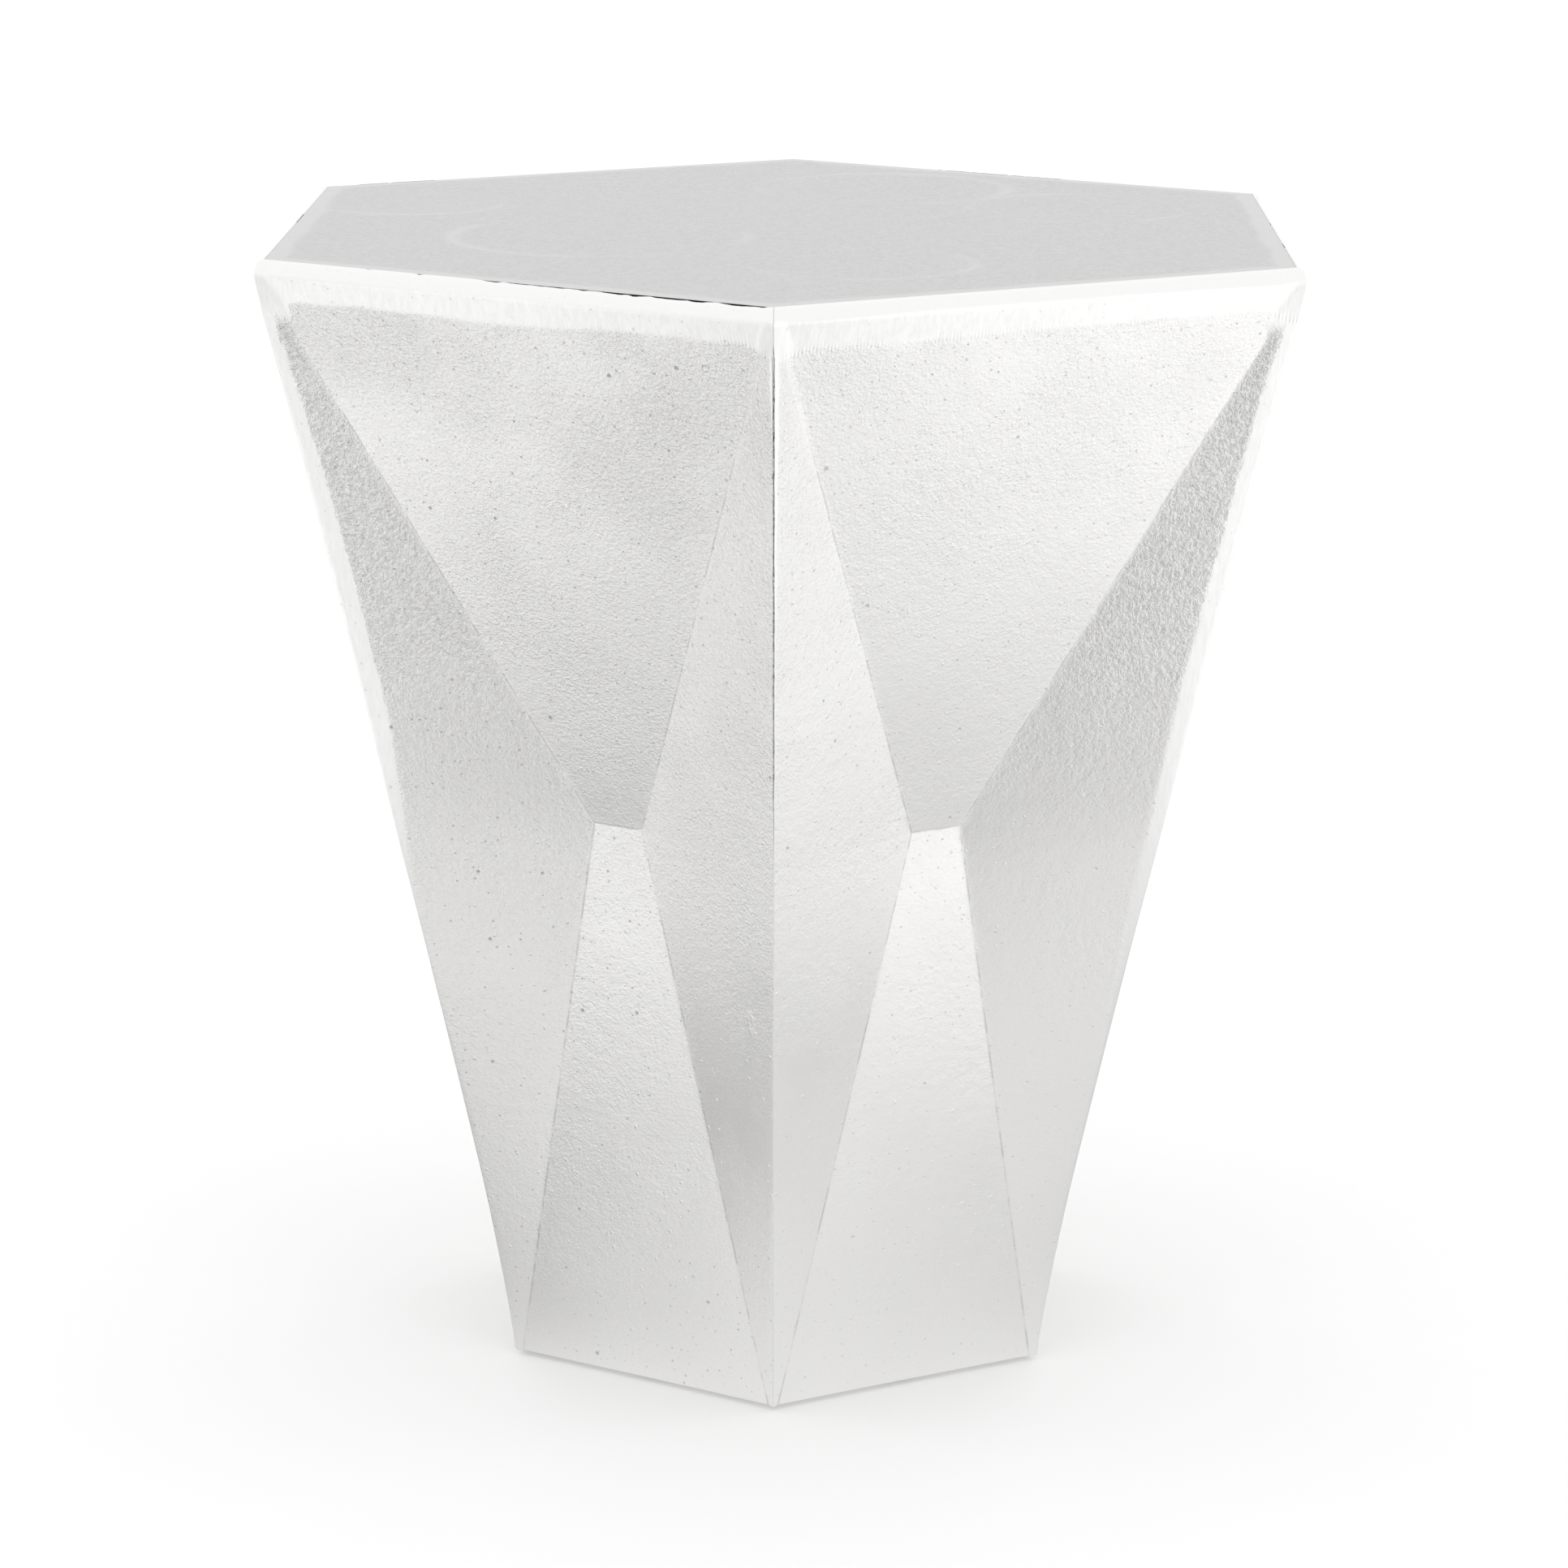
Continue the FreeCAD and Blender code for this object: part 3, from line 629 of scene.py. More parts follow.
def add_outside(build, side):
    """Adds the outer face and the lip. Returns the rows of point indices."""
    x, y, z, marks, on_fold = outer_rows(side)
    new_x, new_y, new_z, new_marks = zip(*lip_rows(side, x[-1], y[-1], z[-1, 0], marks[-1]))
    xyz = np.stack([np.vstack([x, *new_x]), np.vstack([y, *new_y]), np.vstack([z, *new_z])], -1)
    on_fold = np.vstack([on_fold, np.zeros((len(new_x), y.shape[1]), bool)])
    grid = build.grid(xyz, np.concatenate([marks, np.stack(new_marks)], 0))
    # cells that the fold crosses are split along it
    low_left, low_right, top_right, top_left = (
        grid[:-1, :-1], grid[:-1, 1:], grid[1:, 1:], grid[1:, :-1])
    up_right = on_fold[:-1, :-1] & on_fold[1:, 1:]
    up_left = on_fold[:-1, 1:] & on_fold[1:, :-1] & ~up_right
    for mask, shapes in (
            (~(up_right | up_left), ((low_left, low_right, top_right, top_left),)),
            (up_right, ((low_left, low_right, top_right), (low_left, top_right, top_left))),
            (up_left, ((low_left, low_right, top_left), (low_right, top_right, top_left)))):
        for shape in shapes:
            build.faces.extend(map(tuple, np.stack([part[mask] for part in shape], -1).tolist()))
    return grid.tolist()


# inner wall stations: level above the base, ridge radius, whether the flat reaches the ridge
INNER_STATIONS = [(0, BASE_RADIUS, True), (91, 140.6, False), (WAIST_LEVEL, 175.2, False),
                  (364, 206.8, False), (449, RIM_RADIUS, True)]


def inner_section(z):
    """Ridge radius and fold place (x, y) of the inner wall at level z."""
    levels, radii, tipped = (np.array(column) for column in zip(*INNER_STATIONS))
    levels = levels * TALL
    fold_x, fold_y = fold_xy(levels + Z_BASE)
    wall_x = fold_x - 5.2
    wall_radius = np.where(tipped, (wall_x + 0.3) / COS30, radii - 8.1)
    wall_y = np.where(tipped, wall_radius * SIN30 - 1.0, fold_y + 0.94)
    return [np.interp(z - Z_BASE, levels, values) for values in (wall_radius, wall_x, wall_y)]


def add_inner_wall(build, side, levels):
    """Adds the inner wall. Returns its rows, each of four point indices."""
    rows = []
    for z in levels:
        radius, wall_x, wall_y = inner_section(z)
        ends = []
        for half in (-1, 1):
            gap = seam_gap(side, half, z)
            ends.append((radius * COS30 + gap * SIN30,
                         half * (radius * SIN30 - gap * COS30), z))
        points = [ends[0], (wall_x, -wall_y, z), (wall_x, wall_y, z), ends[1]]
        rows.append([build.add(point) for point in points])
    for first, second in zip(rows, rows[1:]):
        build.zipper(first, second, flip=True)
    return rows


def add_flange(build, wall_row, outer_row, edge_top, edge_low, z_top):
    """Faces of the foot flange, with a screw hole above a round recess for the glide."""
    glide_x, z_recess = 88.0, Z_BASE + 3

    def ring(radius, z, count):
        angles = [2 * math.pi * i / count for i in range(count)]
        return build.loop([(glide_x + radius * math.cos(angle), radius * math.sin(angle))
                           for angle in angles], z)

    hole_top, hole_low = ring(2.0, z_top, 24), ring(2.0, z_recess, 24)
    recess_low, recess_top = ring(9.2, Z_BASE, 48), ring(9.2, z_recess, 48)
    build.fill([build.level_loop(wall_row + edge_top[::-1]), hole_top],
               lambda x, y: (x, y, z_top))
    build.fill([build.level_loop(outer_row + edge_low[::-1]), recess_low],
               lambda x, y: (x, y, Z_BASE))
    build.fill([recess_top, hole_low], lambda x, y: (x, y, z_recess))
    build.tube(hole_low, hole_top)
    build.tube(recess_low, recess_top)


def make_panel(side, material):
    build = Build()
    grid = add_outside(build, side)
    z_flange, z_under_ledge = Z_BASE + 8.0, Z_LEDGE - 6.0
    flange_in = 75.0
    wall_rows = add_inner_wall(build, side, [z_flange, Z_BASE + 91, Z_WAIST, Z_BASE + 300,
                                             Z_BASE + 364, z_under_ledge])

    def edge(x, z):
        """A straight edge across the casting, from mitre plane to mitre plane."""
        return [build.add((x, half * mitre_y(side, half, x, z), z)) for half in (-1, 1)]

    ledge_top, ledge_low = edge(LEDGE_IN, Z_LEDGE), edge(LEDGE_IN, z_under_ledge)
    flange_top, flange_low = edge(flange_in, z_flange), edge(flange_in, Z_BASE)
    build.zipper(grid[-1], ledge_top)
    build.zipper(ledge_top, ledge_low)
    build.zipper(ledge_low, wall_rows[-1])
    build.zipper(flange_top, flange_low)
    add_flange(build, wall_rows[0], grid[0], flange_top, flange_low, z_flange)
    # mitre faces, filled in a plane of distance out along the mitre and height
    rows = grid + [ledge_top, ledge_low] + wall_rows[::-1] + [flange_top, flange_low]
    for at, half in ((0, -1), (-1, 1)):
        loop = []
        for row in rows:
            x, y, z = build.points[row[at]]
            loop.append((x * COS30 + abs(y) * SIN30, z, row[at]))
        build.fill([loop], lambda out, z: (out * COS30, half * out * SIN30, z))
    piece = build.finish(side.name + "_casting", side.azimuth)
    stand_in(piece, side.name + "_panel", material)


# ------------------------------------------------------------------ top plate

PER_SIDE = 72  # points along each side of the plate
PLATE_PLACES = -1 + 2 * np.arange(PER_SIDE) / PER_SIDE
# rounded arris of the plate: inset from its edge, drop below the face
ARRIS = [(0.30, 0.012), (0.17, 0.045), (0.08, 0.10), (0.02, 0.18), (0.0, 0.30)]
# face rings near the edge: distance in from it
EDGE_RINGS = (10, 8.2, 6.6, 5.2, 4, 3, 2.2, 1.6, 1.1, 0.75, 0.5)


def add_plate_face(build):
    """Adds the top face and the plate's edge. Returns the lowest ring of point indices."""
    rings = []

    def hexagon(apothem):
        side_points = [(apothem, y) for y in PLATE_PLACES * apothem * TAN30]
        return np.concatenate([turned(side_points, math.radians(60 * k)) for k in range(6)])

    def face_z(points, inset):
        """Slightly wavy, and falling a little towards the edge."""
        waves = noise_pair(points[:, 0], points[:, 1], 0, cell=120, seed=61)
        z = Z_TOP + 0.10 * waves * np.clip(inset / 25, 0, 1)
        return z - 0.10 * np.clip(1 - inset / 9.0, 0, 1) ** 2

    def add_ring(points, z, dress, seam=0, lip=0):
        rows = np.broadcast(points[:, 0], points[:, 1], z, dress, seam, lip)
        rings.append([build.add(row[:3], row[3:]) for row in rows])

    centre = build.add((0, 0, Z_TOP))
    apothems = list(np.linspace(0, PLATE_EDGE - 12, 26)[1:])
    apothems += [PLATE_EDGE - inset for inset in EDGE_RINGS]
    for apothem in apothems:
        points = hexagon(apothem)
        inset = PLATE_EDGE - apothem
        ragged = inset + 1.3 * noise(points[:, 0], points[:, 1], 0, cell=16, seed=63)
        add_ring(points, face_z(points, inset), dress=1 - step(5.5, 9.0, ragged))
    # painted shade of the seam round the plate, on the plate's sides, turning from the one that
    # faces +x
    shade = np.concatenate([
        seam_shade(np.maximum(lip_gap(side, PLATE_PLACES), lip_drop(side, PLATE_PLACES)))
        for side in SIDES[1:] + SIDES[:1]])
    for inset, drop in ARRIS:
        apothem = PLATE_EDGE - inset
        points = hexagon(apothem)
        add_ring(points, face_z(points, PLATE_EDGE - apothem) - drop, dress=1,
                 seam=shade if drop > 0.15 else 0, lip=0.5)
    # painted shade: the plate's edge walls are coloured near black, for the shadow in the gap
    # round it
    for z in (Z_TOP - 1.2, Z_LEDGE):
        add_ring(hexagon(PLATE_EDGE), z, dress=0, seam=1)
    count = 6 * PER_SIDE
    for i in range(count):
        build.face(centre, rings[0][i], rings[0][(i + 1) % count])
    for first, second in zip(rings, rings[1:]):
        for i in range(count):
            j = (i + 1) % count
            build.face(first[i], second[i], second[j], first[j])
    return rings[-1]


def rib_star():
    """Outline of six ribs that run out from a round hub."""
    half_width, hub_radius, rib_end = 2.5, 36.0, 168.0
    half_angle = math.asin(half_width / hub_radius)
    root = hub_radius * math.cos(half_angle)
    rib = [(root, -half_width), (rib_end - 1, -half_width), (rib_end, -half_width + 1),
           (rib_end, half_width - 1), (rib_end - 1, half_width), (root, half_width)]
    star = []
    for k in range(6):
        turn = math.radians(60 * k)
        star += turned(rib, turn)
        for share in np.linspace(0, 1, 9)[1:-1]:
            angle = turn + half_angle + share * (math.radians(60) - 2 * half_angle)
            star.append((hub_radius * math.cos(angle), hub_radius * math.sin(angle)))
    return star


def add_plate_underside(build, outer):
    """Adds the underside with its rib star, hub ring and locating lugs."""
    z_rib, z_lug = Z_TOP - 15.0, Z_LEDGE - 5
    well_radius = 31

    def wall(outline, z_low):
        top, low = build.loop(outline, Z_LEDGE), build.loop(outline, z_low)
        build.tube(top, low)
        return top, low

    star_top, star_low = wall(rib_star(), z_rib)
    well_top, well_low = wall([(well_radius * math.cos(angle), well_radius * math.sin(angle))
                               for angle in np.linspace(0, 2 * math.pi, 48, endpoint=False)],
                              z_rib)
    build.fill([star_low, well_low], lambda x, y: (x, y, z_rib))
    build.fill([well_top], lambda x, y: (x, y, Z_LEDGE))
    lug_in, lug_out, lug_half, lug_place = 171.5, 176.5, 12, 32
    lugs = []
    for k in range(6):
        for middle in (-lug_place, lug_place):
            low_y, high_y = middle - lug_half, middle + lug_half
            box = [(lug_in, low_y), (lug_out, low_y), (lug_out, high_y), (lug_in, high_y)]
            lug_top, lug_low = wall(turned(box, math.radians(60 * k)), z_lug)
            build.fill([lug_low], lambda x, y: (x, y, z_lug))
            lugs.append(lug_top)
    build.fill([build.level_loop(outer), star_top] + lugs, lambda x, y: (x, y, Z_LEDGE))


def make_top(material):
    build = Build()
    add_plate_underside(build, add_plate_face(build))
    stand_in(build.finish("top_plate_cast"), "top_plate", material)


# ------------------------------------------------------------------ material helpers


class Value:
    """A number in a node tree. Each sum written with it adds one Math node."""

    def __init__(self, nodes, socket):
        self.nodes, self.socket = nodes, socket

    def __abs__(self):
        return self.nodes.math("ABSOLUTE", self)


def math_operator(operation, swapped=False):
    def apply(self, other):
        pair = (other, self) if swapped else (self, other)
        return self.nodes.math(operation, *pair)
    return apply


for symbol, operation in (("add", "ADD"), ("sub", "SUBTRACT"), ("mul", "MULTIPLY"),
                          ("truediv", "DIVIDE"), ("pow", "POWER")):
    setattr(Value, f"__{symbol}__", math_operator(operation))
    setattr(Value, f"__r{symbol}__", math_operator(operation, swapped=True))


class Nodes:
    """Small helper to write node materials. Colours are given as (red, green, blue)."""

    def __init__(self, name):
        self.material = bpy.data.materials.new(name)
        self.material.use_nodes = True
        self.tree = self.material.node_tree
        self.tree.nodes.clear()

    def new(self, kind, inputs, **props):
        """A node with its properties and inputs set; an input may be a link."""
        node = self.tree.nodes.new("ShaderNode" + kind)
        for name, value in props.items():
            setattr(node, name, value)
        for name, value in inputs.items():
            socket = node.inputs[name]
            if isinstance(value, Value):
                value = value.socket
            if isinstance(value, bpy.types.NodeSocket):
                self.tree.links.new(value, socket)
            else:
                socket.default_value = (*value, 1) if socket.type == "RGBA" else value
        return node

    def value(self, node, output):
        return Value(self, node.outputs[output])

    def coord(self):
        return self.new("TexCoord", {}).outputs["Object"]

    def attribute(self, name):
        return self.value(self.new("Attribute", {}, attribute_name=name), "Fac")

    def math(self, operation, first, second=None, clamp=False):
        inputs = {0: first} if second is None else {0: first, 1: second}
        return self.value(self.new("Math", inputs, operation=operation, use_clamp=clamp), 0)

    def ramp(self, value, over, to=(0.0, 1.0), smooth=True):
        """Maps the range `over` to the range `to`, and holds the ends."""
        node = self.new("MapRange", {"Value": value, "From Min": over[0], "From Max": over[1],
                                     "To Min": to[0], "To Max": to[1]},
                        interpolation_type="SMOOTHSTEP" if smooth else "LINEAR")
        return self.value(node, "Result")

    def noise(self, vector, scale, detail=2.0, rough=0.5, distort=0.0):
        return self.value(self.new("TexNoise", {
            "Vector": vector, "Scale": scale, "Detail": detail, "Roughness": rough,
            "Distortion": distort}), 0)

    def mapping(self, vector, location=(0, 0, 0), rotation=(0, 0, 0), scale=(1, 1, 1)):
        return self.new("Mapping", {"Vector": vector, "Location": location,
                                    "Rotation": rotation, "Scale": scale}).outputs[0]

    def mix(self, share, first, second):
        return self.value(self.new("Mix", {0: share, 2: first, 3: second}, data_type="FLOAT"), 0)

    def mix_colour(self, share, first, second):
        return self.new("Mix", {0: share, 6: first, 7: second}, data_type="RGBA").outputs[2]

    def pits(self, vector, cell, radius, share):
        """Round pinholes, one per flat Voronoi cell and present in a share of the cells,
        with radii in a range (m). Gives 0 outside and up to 1 at the middle of a pit."""
        voronoi = self.new("TexVoronoi", {"Vector": vector, "Scale": 1.0 / cell,
                                          "Randomness": 1.0},
                           feature="F1", voronoi_dimensions="2D")
        random = self.new("SeparateColor", {0: voronoi.outputs["Color"]})
        distance = self.value(voronoi, "Distance") * cell
        size = self.ramp(self.value(random, 0) ** 2.0, over=(0, 1), to=radius, smooth=False)
        shape = self.math("SUBTRACT", 1.0, distance / size, clamp=True)
        present = self.math("LESS_THAN", self.value(random, 1), share)
        return shape ** 0.6 * present

    def spot(self, vector, centre, radius):
        """Distance from a point, as a share of a radius, both given in mm."""
        point = tuple(value * MILLI for value in centre)
        node = self.new("VectorMath", {0: vector, 1: point}, operation="DISTANCE")
        return self.value(node, "Value") / (radius * MILLI)

    def bell(self, value, centre, width):
        offset = (value - centre) / width
        return 2.718 ** (offset * offset * -1.0)

    def output(self, shader):
        self.new("OutputMaterial", {"Surface": shader.outputs[0]})
        return self.material

    def finish(self, colour, roughness, height, metallic=1.0):
        """Closes the material, with its relief as a height in metres."""
        bump = self.new("Bump", {"Strength": 1.0, "Distance": 1.0, "Height": height})
        return self.output(self.new("BsdfPrincipled", {
            "Base Color": colour, "Metallic": metallic, "Roughness": roughness,
            "Normal": bump.outputs[0]}))


# ------------------------------------------------------------------ cast metal
# The functions share `cast`, which holds the marks and the textures used more than once.

PEEL = 0.00022  # height of the cast skin's orange peel, in metres


def cast_inputs(n):
    cast = SimpleNamespace(**{name: n.attribute(name) for name in MARKS if name != "lip"})
    cast.coord = n.coord()
    cast.z = n.value(n.new("SeparateXYZ", {0: cast.coord}), 2)
    # a flat sheet of coordinates on each casting, shifted from one casting to the next
    random = n.value(n.new("ObjectInfo", {}), "Random")
    cast.sheet = n.new("CombineXYZ", {0: cast.along * MILLI + random * 7.0,
                                      1: cast.z}).outputs[0]
    cast.ground = n.ramp(cast.dress, over=(0.05, 0.95))
    cast.peel = n.noise(cast.coord, scale=720, detail=3, rough=0.6)
    # turned and stretched, so that the textures don't line up
    cast.fine = n.noise(n.mapping(cast.coord, rotation=(0.5, 0.35, 0.8), scale=(0.85, 1.0, 1.2)),
                        scale=830, rough=0.7, distort=0.6)
    cast.coarse = n.noise(n.mapping(cast.coord, rotation=(0.9, 0.2, 0.4), scale=(1.0, 1.0, 0.75)),
                          scale=520, detail=3, rough=0.65, distort=0.4)
    cast.scratch = n.noise(n.mapping(cast.coord, scale=(1.0, 1.0, 0.05)), scale=700, rough=0.6)
    skinned = n.ramp(cast.skin, over=(0.1, 0.7), smooth=False)
    cast.small_pits = n.pits(cast.sheet, cell=0.0056, radius=(0.00020, 0.00062),
                             share=0.42) * skinned
    cast.large_pits = n.pits(cast.sheet, cell=0.0300, radius=(0.00040, 0.0010),
                             share=0.46) * skinned
    cast.pimples = n.pits(cast.sheet, cell=0.0068, radius=(0.00028, 0.00080),
                          share=0.38) * skinned
    return cast


def fold_lines(n, cast):
    """1 along the folds between the facets of a cast face, where the painted shade of their inner
    corners goes.
    """
    fold_y = (n.ramp(cast.z, over=(Z_BASE * MILLI, Z_WAIST * MILLI),
                     to=(BASE_FOLD[1], WAIST_FOLD[1]), smooth=False)
              + n.ramp(cast.z, over=(Z_WAIST * MILLI, Z_RIM * MILLI),
                       to=(0.0, RIM_FOLD[1] - WAIST_FOLD[1]), smooth=False))
    beside = n.bell(abs(cast.along) - fold_y, centre=0.0, width=0.42)
    waist = (n.bell(cast.z, centre=Z_WAIST * MILLI, width=0.0004)
             * n.math("LESS_THAN", abs(cast.along), WAIST_FOLD[1]))
    lines = n.math("MAXIMUM", beside, waist) * n.math("GREATER_THAN", cast.skin, 0.2)
    return lines * n.ramp(cast.z, over=(0.385, 0.425), to=(1.0, 0.25))


def skin_height(n, cast):
    """Orange peel, coarser towards the top, with pits, pimples and two single flaws."""
    broad = n.noise(cast.coord, scale=230)
    patch = n.ramp(n.noise(cast.coord, scale=17), over=(0.35, 0.68), to=(0.65, 1.25))
    rise = (n.ramp(cast.z, over=(0.15, 0.44), to=(0.8, 1.9), smooth=False)
            * n.ramp(cast.skin, over=(0.4, 1.0), to=(0.55, 1.15), smooth=False))
    peel = (cast.peel - 0.5) * PEEL + (cast.fine - 0.5) * (PEEL * 0.9)
    peel = peel * (rise * n.ramp(cast.grain, over=(0, 1), to=(1.0, 1.7)))
    peel = peel + (cast.coarse - 0.5) * (cast.grain * (PEEL * 3.2))
    broad = (broad - 0.5) * (PEEL * 0.8) * n.ramp(cast.grain, over=(0, 1), to=(1.0, 1.5))
    # depths and heights in metres
    dots = cast.small_pits * -0.00034 + cast.large_pits * -0.00055 + cast.pimples * 0.00028
    height = (peel + broad) * patch + dots
    # a ring with a hollow in it, on the front left casting near the rim
    ring = n.spot(cast.coord, centre=(-25.2, -206.75, 432.2), radius=1.8)
    height = height + n.bell(ring, centre=0.75, width=0.30) * 0.00020
    height = height + n.bell(ring, centre=0.0, width=0.5) * -0.00022
    # an upright oval scar near the front ridge, below the waist
    squash = 0.28
    scar_place = n.mapping(cast.coord, location=(0.0089, 0.1487, -0.1683 * squash),
                           scale=(1.0, 1.0, squash))
    scar = n.spot(scar_place, centre=(0, 0, 0), radius=2.2)
    return height + n.bell(scar, centre=0.6, width=0.35) * 0.00018


def cast_height(n, cast):
    """The cast skin, marks drawn along the ground metal, and hatching at the band's edge."""
    skin = skin_height(n, cast)
    ground = (cast.scratch - 0.5) * 0.000045 + skin * 0.10
    height = n.mix(cast.ground, skin, ground)
    tooth_pitch = 1.5  # mm
    teeth = n.math("SINE", cast.along * (2 * math.pi / tooth_pitch))
    patchy = n.ramp(n.noise(cast.coord, scale=30), over=(0.40, 0.58), to=(0.0, 0.000030))
    return height + teeth * cast.hatch * patchy


def cast_roughness(n, cast):
    cloud = n.noise(cast.coord, scale=26, detail=3, rough=0.6)
    rough = n.mix(cast.ground, n.ramp(cloud, over=(0.3, 0.7), to=(0.38, 0.43)),
                  n.ramp(cast.scratch, over=(0.3, 0.7), to=(0.33, 0.40)))
    return rough + n.math("MAXIMUM", cast.small_pits, cast.large_pits) * 0.3


def ground_colour_and_light(n, cast):
    """Ground metal: plain on the ridges, darker on the band as painted shade, brightest on the lip
    as a painted highlight.
    """
    # painted shade: the ground band under the rim is made darker
    colour = n.mix_colour(n.ramp(cast.z, over=((Z_RIM - 15) * MILLI, (Z_RIM - 8) * MILLI)),
                          (0.915, 0.914, 0.911), (0.86, 0.859, 0.856))
    # painted highlight: the lip, which faces up, is made near white
    return n.mix_colour(n.ramp(cast.z, over=((Z_RIM - 1.5) * MILLI, (Z_RIM + 1.5) * MILLI)),
                        colour, (0.99, 0.989, 0.986))


def low_spot_shade(n, cast):
    """Share of painted shade (grey) in the low spots of the skin, most of all on the coarse grain
    and more towards the top: the self-shading of a rough cast skin, painted into the colour.
    """
    low = n.mix(cast.grain,
                n.ramp(cast.peel * 0.4 + cast.fine * 0.6, over=(0.42, 0.55), to=(1.0, 0.0)),
                n.ramp(cast.coarse * 0.65 + cast.fine * 0.35, over=(0.42, 0.56), to=(1.0, 0.0)))
    shade_share = n.mix(cast.grain, cast.skin * 0.17, 0.52)
    shade_share = shade_share * n.ramp(cast.z, over=(0.15, 0.44), to=(0.35, 1.0), smooth=False)
    return low * (shade_share * (1.0 - cast.ground * 0.95))


def painted_seam_shade(n, cast):
    """Painted shade in the open seams, with a ragged edge."""
    rag = (n.noise(cast.coord, scale=540, detail=3, rough=0.75) - 0.5) * 1.35
    ragged = cast.seam + rag * n.ramp(cast.seam, over=(0.0, 0.10))
    return (n.ramp(ragged, over=(0.40, 0.74))
            * n.ramp(cast.seam, over=(0.6, 0.95), to=(0.72, 1.0)))


def cast_colour(n, cast):
    tone = n.ramp(n.noise(cast.coord, scale=9, detail=3, rough=0.6), over=(0.3, 0.7))
    colour = n.mix_colour(tone, (0.900, 0.895, 0.884), (0.925, 0.921, 0.911))
    # painted light: the colour is made lighter from a little above the base up to the waist, to
    # brighten the lower facets
    lower_light = (n.ramp(cast.z, over=(0.02, 0.10))
             * n.ramp(cast.z, over=(0.215, 0.250), to=(1.0, 0.0)))
    colour = n.mix_colour(lower_light * 0.8, colour, (0.975, 0.970, 0.960))
    colour = n.mix_colour(cast.ground, colour, ground_colour_and_light(n, cast))
    # painted shade in the folds: the colour darkens along the inner corners between facets, with a
    # ragged strength
    fold_shade_rag = n.ramp(n.noise(cast.coord, scale=90, detail=3, rough=0.6), over=(0.35, 0.65))
    fold_shade = fold_lines(n, cast) * n.ramp(fold_shade_rag, over=(0, 1), to=(0.08, 0.40))
    colour = n.mix_colour(fold_shade * (1.0 - cast.ground), colour, (0.30, 0.295, 0.285))
    # painted shade: grey in the low spots of the skin
    colour = n.mix_colour(low_spot_shade(n, cast), colour, (0.60, 0.595, 0.585))
    # painted shade: near black along the open seams, for the shadow in the gap
    colour = n.mix_colour(painted_seam_shade(n, cast), colour, (0.03, 0.03, 0.03))
    # painted shade in the pinholes: the colour is darkened in the pits
    pit_shade = n.math("MAXIMUM", cast.small_pits * 0.38, cast.large_pits * 0.6)
    return n.mix_colour(pit_shade * (1.0 - cast.ground * 0.8), colour, (0.30, 0.295, 0.29))


def cast_metal():
    """Sand-cast aluminium: orange-peel skin with pinholes, ground bright where dressed."""
    n = Nodes("cast_aluminium")
    cast = cast_inputs(n)
    return n.finish(cast_colour(n, cast), cast_roughness(n, cast), cast_height(n, cast))


# ------------------------------------------------------------------ other materials

# faint rings on the top face: centre and radius in mm, width as a share of the radius
SWIRLS = [((120, 60, 457), 45, 0.05), ((-155, 60, 457), 38, 0.07), ((-72, -40, 457), 58, 0.05),
          ((40, 120, 457), 52, 0.06), ((30, -110, 457), 44, 0.05)]


def swirls(n, coord):
    """Broken rings left by the sander."""
    total = None
    for centre, radius, width in SWIRLS:
        ring = n.bell(n.spot(coord, centre, radius), centre=1.0, width=width)
        ring = ring * n.ramp(n.noise(coord, scale=9, distort=0.5), over=(0.45, 0.62))
        total = ring if total is None else n.math("MAXIMUM", total, ring)
    return total


def top_metal():
    """The top face: sanded, with a fine speckle and a few faint swirls. Its base colour is greyer
    than the sides', partly its sanded finish and partly painted shade that holds down its
    reflection of the bright tent.
    """
    n = Nodes("sanded_top")
    coord = n.coord()
    dress = n.attribute("dress")
    cloud = n.noise(coord, scale=11, detail=4, rough=0.6, distort=1.2)
    swirl = swirls(n, coord)

    height = ((n.noise(coord, scale=900, rough=0.6) - 0.5) * 0.000090
              + (n.noise(coord, scale=330) - 0.5) * 0.000120)
    height = height * n.mix(dress, 1.0, 0.30)
    pits = n.pits(coord, cell=0.009, radius=(0.00015, 0.0004), share=0.30)
    height = height + pits * -0.00015

    rough = n.ramp(cloud, over=(0.35, 0.66), to=(0.40, 0.45))
    rough = n.mix(swirl * 0.5, rough, 0.33)
    rough = n.mix(dress, rough, 0.39)

    # partly painted shade: the top's base colour is kept well below the sides'
    colour = n.mix_colour(n.ramp(cloud, over=(0.35, 0.7)),
                          (0.672, 0.672, 0.673), (0.702, 0.702, 0.703))
    speck = n.ramp(n.noise(coord, scale=1000, rough=0.7) * 0.5
                   + n.noise(coord, scale=430, detail=3, rough=0.75) * 0.5, over=(0.40, 0.60))
    colour = n.mix_colour(speck * 0.85, colour, (0.572, 0.572, 0.573))
    colour = n.mix_colour(swirl * 0.6, colour, (0.71, 0.71, 0.71))
    colour = n.mix_colour(dress * 0.8, colour, (0.72, 0.72, 0.72))
    # painted shade: near black where the seam mark lies, at the plate's edge
    colour = n.mix_colour(n.attribute("seam"), colour, (0.025, 0.025, 0.025))
    return n.finish(colour, rough, height)


def simple_metal(name, colour, rough, ripple):
    """Plain metal; ripple scales the height of its relief."""
    n = Nodes(name)
    coord = n.coord()
    fine = n.noise(coord, scale=420, detail=3, rough=0.6)
    broad = n.noise(coord, scale=90)
    darker = tuple(value * 0.85 for value in colour)
    return n.finish(n.mix_colour(n.ramp(broad, over=(0.35, 0.65)), darker, colour),
                    n.ramp(fine, over=(0.3, 0.7), to=(rough - 0.06, rough + 0.08)),
                    fine * (0.00005 * ripple) + broad * (0.0004 * ripple))


